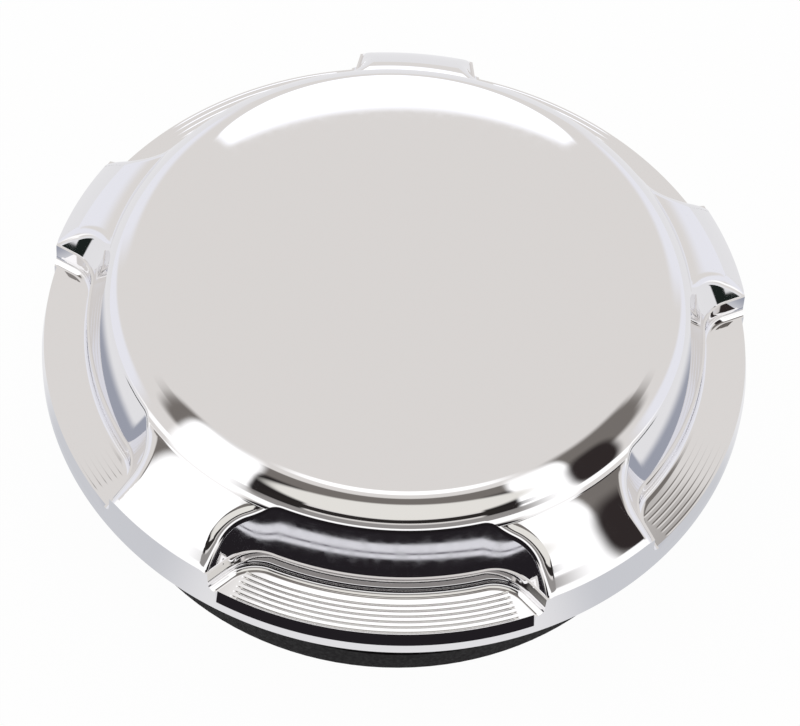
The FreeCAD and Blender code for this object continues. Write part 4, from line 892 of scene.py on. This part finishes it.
class FUELCAP_OT_screws(bpy.types.Operator):
    """Pan-head screws with cross recesses"""

    bl_idname = "fuelcap.screws"
    bl_label = "Valve screws"

    def execute(self, context):
        s = context.scene.plug_sizes
        flat, shank = s.head_radius - HEAD_ROUNDING, s.screw_top - SCREW_POINT
        corners = (
            (s.head_radius, s.head_top),
            (s.screw_radius, s.head_top),
            (s.screw_radius, shank),
            (s.screw_radius - SCREW_POINT, s.screw_top),
            (0.0, s.screw_top),
        )
        head = straight((0.0, s.head_bottom), (flat, s.head_bottom))
        head += arc(flat, s.head_bottom + HEAD_ROUNDING, HEAD_ROUNDING, -90, 0, 8)
        head.append((s.head_radius, s.head_top, 1.0, 0.0))
        profile = [head, *[straight(start, end) for start, end in zip(corners, corners[1:])]]
        first = scene_object("valve_screw_1", turned_mesh("valve_screw_1", profile, SCREW_STEPS))
        for arm in cross_cutters(s):
            cut(first, arm)
        bpy.ops.object.shade_smooth_by_angle(angle=SCREW_SMOOTH)
        # Bright zinc plate: a soft grey mirror
        first.data.materials.append(plain("zinc_plated_steel_screw_head", "#B4B6B8", 0.3, 1.0))
        screws = [first]
        for number in range(1, s.screw_count):
            screws.append(scene_object("valve_screw_%d" % (number + 1), first.data.copy()))
        for number, screw in enumerate(screws):
            turn = math.pi / s.screw_count + 2 * math.pi * number / s.screw_count
            place = Matrix.Rotation(turn, 4, "Z") @ Matrix.Translation((s.screw_circle, 0.0, 0.0))
            screw.data.transform(place @ Matrix.Rotation(RECESS_TURN + RECESS_STEP * number, 4, "Z"))
            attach(screw, "plug")
            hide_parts("valve_screws")
        return {"FINISHED"}


class FUELCAP_OT_springs(bpy.types.Operator):
    """Coil springs of the pressure plate and the vacuum valve"""

    bl_idname = "fuelcap.springs"
    bl_label = "Springs"

    def execute(self, context):
        s = context.scene.spring_sizes
        wire = plain("spring_steel_wire_drawn", "#9A9A9C", 0.25, 1.0)
        for name, joint, body, fixed, sizes in (
            ("pressure_spring", "pressure_lift", "plug", 1, (s.pressure_radius, s.pressure_wire, s.pressure_turns)),
            ("vacuum_spring", "vacuum_drop", "pressure_valve", 0, (s.vacuum_radius, s.vacuum_wire, s.vacuum_turns)),
        ):
            ends = [corner[2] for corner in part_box(name)]
            spring = scene_object(name + "_wire", spring_mesh(name + "_wire", *sizes, *ends))
            spring.data.materials.append(wire)
            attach(spring, body)
            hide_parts(name)
            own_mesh(spring)
        return {"FINISHED"}


class FUELCAP_OT_finishes(bpy.types.Operator):
    """Finishes of the parts kept from the CAD model"""

    bl_idname = "fuelcap.finishes"
    bl_label = "Finishes"

    def execute(self, context):
        # Rubber and pressed felt take the light in, moulded acetal is milky with a half gloss, and drawn
        # steel, zinc plate and turned brass are soft mirrors
        rubber = plain("nitrile_rubber_moulded", "#1B1A1A", 0.7)
        acetal = plain("acetal_moulded_natural", "#E9E6DC", 0.35)
        spring = plain("spring_steel_drawn", "#9A9A9C", 0.25, 1.0)
        zinc = plain("zinc_plated_steel_screw", "#B4B6B8", 0.3, 1.0)
        brass = plain("brass_turned", "#D2AC62", 0.25, 1.0)
        felt = plain("wool_felt_pressed", "#DAD6CB", 0.95)
        for material, names in (
            (rubber, ("housing_o_ring", "pressure_seal")),
            (acetal, ("ratchet_ring", "pawl_ring", "valve_housing", "splash_guard", "vacuum_valve", "valve_cover")),
            (spring, ("snap_ring", "wave_washer", "vacuum_clip")),
            (zinc, ("ring_keys",)),
            (brass, ("pressure_plate",)),
            (felt, ("vent_filter",)),
        ):
            for name in names:
                dress(name, material)
        return {"FINISHED"}


# Boxes and flags of the studio, each where the dome mirrors it into the lens: the lean of the
# mirroring surface and half its extent, its bearing from the front and half of that, all in degrees,
# how square the corners are, how soft the edge is, colour and strength
LIGHTS = (
    (24.0, 4.5, 6.0, 60.0, 8.0, 0.12, "#7B7672", 1.0),
    (27.0, 10.0, -42.0, 12.0, 4.0, 0.25, "#7B7672", 1.0),
    (25.0, 10.0, 50.0, 14.0, 4.0, 0.25, "#7B7672", 1.0),
    (37.0, 20.0, -37.0, 10.0, 6.0, 0.14, "#FFFFFF", 1.3),
    (37.0, 20.0, 34.0, 7.0, 6.0, 0.14, "#FFFFFF", 1.3),
    (40.0, 14.0, -115.0, 23.0, 4.0, 0.25, "#F4F5FC", 1.0),
    (40.0, 14.0, 115.0, 23.0, 4.0, 0.25, "#F4F5FC", 1.0),
    (48.0, 9.0, -82.0, 24.0, 4.0, 0.2, "#F4F5FC", 1.0),
    (48.0, 9.0, 82.0, 24.0, 4.0, 0.2, "#F4F5FC", 1.0),
    (39.0, 13.0, 46.0, 6.5, 2.6, 0.25, "#332D2D", 1.0),
    (37.0, 10.5, -21.5, 6.0, 5.0, 0.15, "#2A2727", 1.0),
    (37.0, 10.5, 24.0, 3.8, 5.0, 0.20, "#2A2727", 1.0),
    (47.0, 2.6, 2.0, 30.0, 8.0, 0.20, "#9A9795", 1.0),
    (41.4, 1.7, 2.0, 27.0, 8.0, 0.15, "#2E2B2A", 1.0),
    (32.5, 7.2, 3.0, 28.0, 2.0, 0.12, "#F2F0EA", 1.0),
    (51.6, 2.4, 2.0, 60.0, 8.0, 0.12, "#FFFFFF", 1.2),
    (73.0, 19.0, 0.0, 28.0, 8.0, 0.03, "#1E1B1E", 1.0),
    (81.0, 18.0, 0.0, 70.0, 8.0, 0.03, "#1E1B1E", 1.0),
    (14.0, 1.9, 3.0, 26.0, 4.0, 0.25, "#FFFFFF", 1.3),
)
# Long curved box behind the cap, a crescent in the crown: bearing, half of it, lean of its inner edge
# and how much more at the ends, lean and depth of its outer arc, where the arc's edge starts and ends
# in shares of it, half the softness of the inner edge, colour, strength
BACK_LIGHT = (-175.5, 48.5, 5.9, 1.1, 8.0, 15.0, 0.93, 1.05, 0.15, "#F8FAFF", 1.4)
ROOM = "#E8E5E2"
# Cards on the floor in front of the cap, outside the picture: radius from and to in metres, half
# angle, soft edge, colour; the soft edge at their ends; how much further out a point counts towards
# the sides, up to a bearing, and the radii over which that comes in
CARDS = (
    (0.059, 4.0, 50.0, 0.001, "#242125"),
    (0.146, 0.158, 42.0, 0.0012, "#E6E6EC"),
    (0.1495, 0.151, 42.0, 0.0006, "#55525A"),
)
CARD_END = 5.0
BEND, BEND_UP_TO, BEND_RADII = 2e-5, 50.0, (0.07, 0.10)
# Grey cards beside the cap, whose far edge comes nearer towards the back: radius from, radius to at
# the front, how much nearer for each degree, bearing from and to, soft edge there, colour
SIDE_CARDS = (0.058, 0.1386, 0.0007, 50.0, 115.0, 3.0, "#A3A7B4")
# Pale cards next to the rim and small black ones further out: radius from and to, bearing from and
# to, soft edge there, colour
RIM_CARDS = (0.040, 0.0585, 38.0, 85.0, 8.0, "#D4D6DB")
END_CARDS = (0.118, 0.160, 59.0, 87.0, 2.0, "#1E2422")
CARD_EDGE = 0.002
PAPER = "#F0F0F2"
GLOW = 0.97


def studio_world(elevation):
    """Pale room with soft boxes and black flags, each placed by the surface direction that mirrors it."""
    world = bpy.data.worlds.new("studio")
    world.use_nodes = True
    tree = world.node_tree
    tree.nodes.clear()
    way = node(tree, "TexCoord", out="Generated")
    half_way = node(tree, "VectorMath.ADD", way, (0.0, -math.cos(elevation), math.sin(elevation)))
    parts = node(tree, "SeparateXYZ", node(tree, "VectorMath.NORMALIZE", half_way), out=None).outputs
    lean = node(tree, "Math.DEGREES", node(tree, "Math.ARCCOSINE", parts[2]))
    bearing = node(tree, "Math.DEGREES", bearing_of(tree, parts))

    def off_bearing(side, half):
        off = node(tree, "Math.WRAP", node(tree, "Math.SUBTRACT", bearing, side), 180.0, -180.0)
        return node(tree, "Math.DIVIDE", off, half)

    def off_lean(middle, half):
        return node(tree, "Math.DIVIDE", node(tree, "Math.SUBTRACT", lean, middle), half)

    layers = []
    for middle, half, side, side_half, square, soft, shade, strength in LIGHTS:
        across, along = (
            node(tree, "Math.POWER", node(tree, "Math.ABSOLUTE", off), square)
            for off in (off_bearing(side, side_half), off_lean(middle, half))
        )
        reach = node(tree, "Math.POWER", node(tree, "Math.ADD", across, along), 1.0 / square)
        mask = node(tree, "MapRange.SMOOTHSTEP", reach, 1.0 - soft, 1.0 + soft, 1.0, 0.0)
        layers.append((mask, srgb(shade, strength)))
    side, half, inner, more, base, depth, start, end, soft, shade, strength = BACK_LIGHT
    off, out = off_bearing(side, half), off_lean(base, depth)
    off = product(tree, off, off)
    over = node(tree, "Math.SUBTRACT", lean, node(tree, "Math.MULTIPLY_ADD", off, more, inner))
    arc_reach = node(tree, "Math.MULTIPLY_ADD", out, out, off)
    mask = node(tree, "MapRange.SMOOTHSTEP", arc_reach, start, end, 1.0, 0.0)
    mask = product(tree, mask, node(tree, "MapRange.SMOOTHSTEP", over, -soft, soft))
    layers += [(mask, srgb(shade, strength)), (node(tree, "LightPath", out="Is Camera Ray"), WHITE)]
    background = node(tree, "Background", layered(tree, srgb(ROOM), layers))
    node(tree, "OutputWorld", background, out=None)
    bpy.context.scene.world = world


def studio_floor(size):
    """White paper floor; metal also sees the cards that lie round the cap."""
    bpy.ops.object.select_all(action="DESELECT")
    bpy.ops.mesh.primitive_plane_add(size=size, location=(0, 0, 0))
    floor = bpy.context.active_object
    floor.name = "floor"
    material, tree, place = new_material("paper_backdrop_white_matt")
    parts = node(tree, "SeparateXYZ", place, out=None).outputs
    radius = node(tree, "VectorMath.LENGTH", place, out="Value")
    bearing = node(tree, "Math.ABSOLUTE", node(tree, "Math.DEGREES", bearing_of(tree, parts)))
    near, far, nearer, first, last, soft, shade = SIDE_CARDS
    slanted = node(tree, "Math.MULTIPLY_ADD", bearing, nearer, radius)
    inside, outside = (
        node(tree, "MapRange.SMOOTHSTEP", value, edge - CARD_EDGE, edge + CARD_EDGE)
        for value, edge in ((radius, near), (slanted, far))
    )
    mask = node(tree, "Math.MAXIMUM", node(tree, "Math.SUBTRACT", inside, outside), 0.0)
    layers = [(product(tree, mask, soft_zone(tree, bearing, first, last, soft)), srgb(shade))]
    for near, far, first, last, soft, shade in (RIM_CARDS, END_CARDS):
        mask = soft_zone(tree, radius, near, far, CARD_EDGE)
        layers.append((product(tree, mask, soft_zone(tree, bearing, first, last, soft)), srgb(shade)))
    bend = node(tree, "Math.POWER", node(tree, "Math.MINIMUM", bearing, BEND_UP_TO), 2.0)
    bend = product(tree, bend, BEND, node(tree, "MapRange.SMOOTHSTEP", radius, *BEND_RADII))
    bent = node(tree, "Math.ADD", radius, bend)
    for near, far, half, soft, shade in CARDS:
        ends = node(tree, "MapRange.SMOOTHSTEP", bearing, half - CARD_END, half + CARD_END, 1.0, 0.0)
        layers.append((product(tree, soft_zone(tree, bent, near, far, soft), ends), srgb(shade)))
    rays = node(tree, "LightPath", out=None).outputs
    seen = node(tree, "Math.MAXIMUM", rays["Is Glossy Ray"], rays["Is Transmission Ray"])
    seen = node(tree, "Math.MAXIMUM", rays["Is Camera Ray"], seen)
    tone = layered(tree, srgb(PAPER), [*layers, (rays["Is Camera Ray"], WHITE)])
    paper, glow = node(tree, "BsdfDiffuse", tone), node(tree, "Emission", tone)
    mix = node(tree, "MixShader", product(tree, seen, GLOW), paper, glow)
    node(tree, "OutputMaterial", mix, out=None)
    floor.data.materials.append(material)


class FUELCAP_OT_stage(bpy.types.Operator):
    """White floor, studio light and the camera of the product shot"""

    bl_idname = "fuelcap.stage"
    bl_label = "Stage"

    def execute(self, context):
        s = context.scene.stage_sizes
        scene = context.scene
        scene.view_settings.view_transform = "Standard"
        studio_world(s.camera_elevation)
        studio_floor(s.floor_size)
        data = bpy.data.cameras.new("camera")
        camera = bpy.data.objects.new("camera", data)
        scene.collection.objects.link(camera)
        tip, roll = s.camera_elevation, s.camera_roll
        back = Vector((0.0, -math.cos(tip), math.sin(tip)))
        level_up = Vector((0.0, math.sin(tip), math.cos(tip)))
        level_right = Vector((1.0, 0.0, 0.0))
        right = math.cos(roll) * level_right + math.sin(roll) * level_up
        up = math.cos(roll) * level_up - math.sin(roll) * level_right
        turn = Matrix((right, up, back)).transposed()
        target = Vector((0.0, 0.0, s.target_height))
        camera.matrix_world = Matrix.Translation(target + back * s.camera_distance) @ turn.to_4x4()
        data.sensor_width = FRAME_WIDTH
        data.lens = FOCAL_LENGTH
        data.shift_x, data.shift_y = SHIFT
        data.clip_start, data.clip_end = CLIP
        scene.camera = camera
        return {"FINISHED"}


class FUELCAP_PT_panel(bpy.types.Panel):
    """Lists the pieces of the fuel cap"""

    bl_label = "Fuel cap"
    bl_idname = "FUELCAP_PT_panel"
    bl_space_type = "VIEW_3D"
    bl_region_type = "UI"
    bl_category = "Fuel cap"

    def draw(self, context):
        for operator in OPERATORS:
            self.layout.operator(operator.bl_idname)
        for name, kind in GROUPS.items():
            column = self.layout.column(align=True)
            for size in kind.__annotations__:
                column.prop(getattr(context.scene, name), size)


GROUPS = {"dome_sizes": DomeSizes, "plug_sizes": PlugSizes, "spring_sizes": SpringSizes, "stage_sizes": StageSizes}
OPERATORS = (
    FUELCAP_OT_dome,
    FUELCAP_OT_plug,
    FUELCAP_OT_gasket,
    FUELCAP_OT_screws,
    FUELCAP_OT_springs,
    FUELCAP_OT_finishes,
    FUELCAP_OT_stage,
)
CLASSES = (*GROUPS.values(), *OPERATORS, FUELCAP_PT_panel)


def register():
    for kind in CLASSES:
        bpy.utils.register_class(kind)
    for name, kind in GROUPS.items():
        setattr(bpy.types.Scene, name, bpy.props.PointerProperty(type=kind))


def unregister():
    for name in GROUPS:
        delattr(bpy.types.Scene, name)
    for kind in reversed(CLASSES):
        bpy.utils.unregister_class(kind)


def main():
    register()
    bpy.ops.fuelcap.dome()
    bpy.ops.fuelcap.plug()
    bpy.ops.fuelcap.gasket()
    bpy.ops.fuelcap.screws()
    bpy.ops.fuelcap.springs()
    bpy.ops.fuelcap.finishes()
    bpy.ops.fuelcap.stage()


if __name__ == "__main__":
    main()
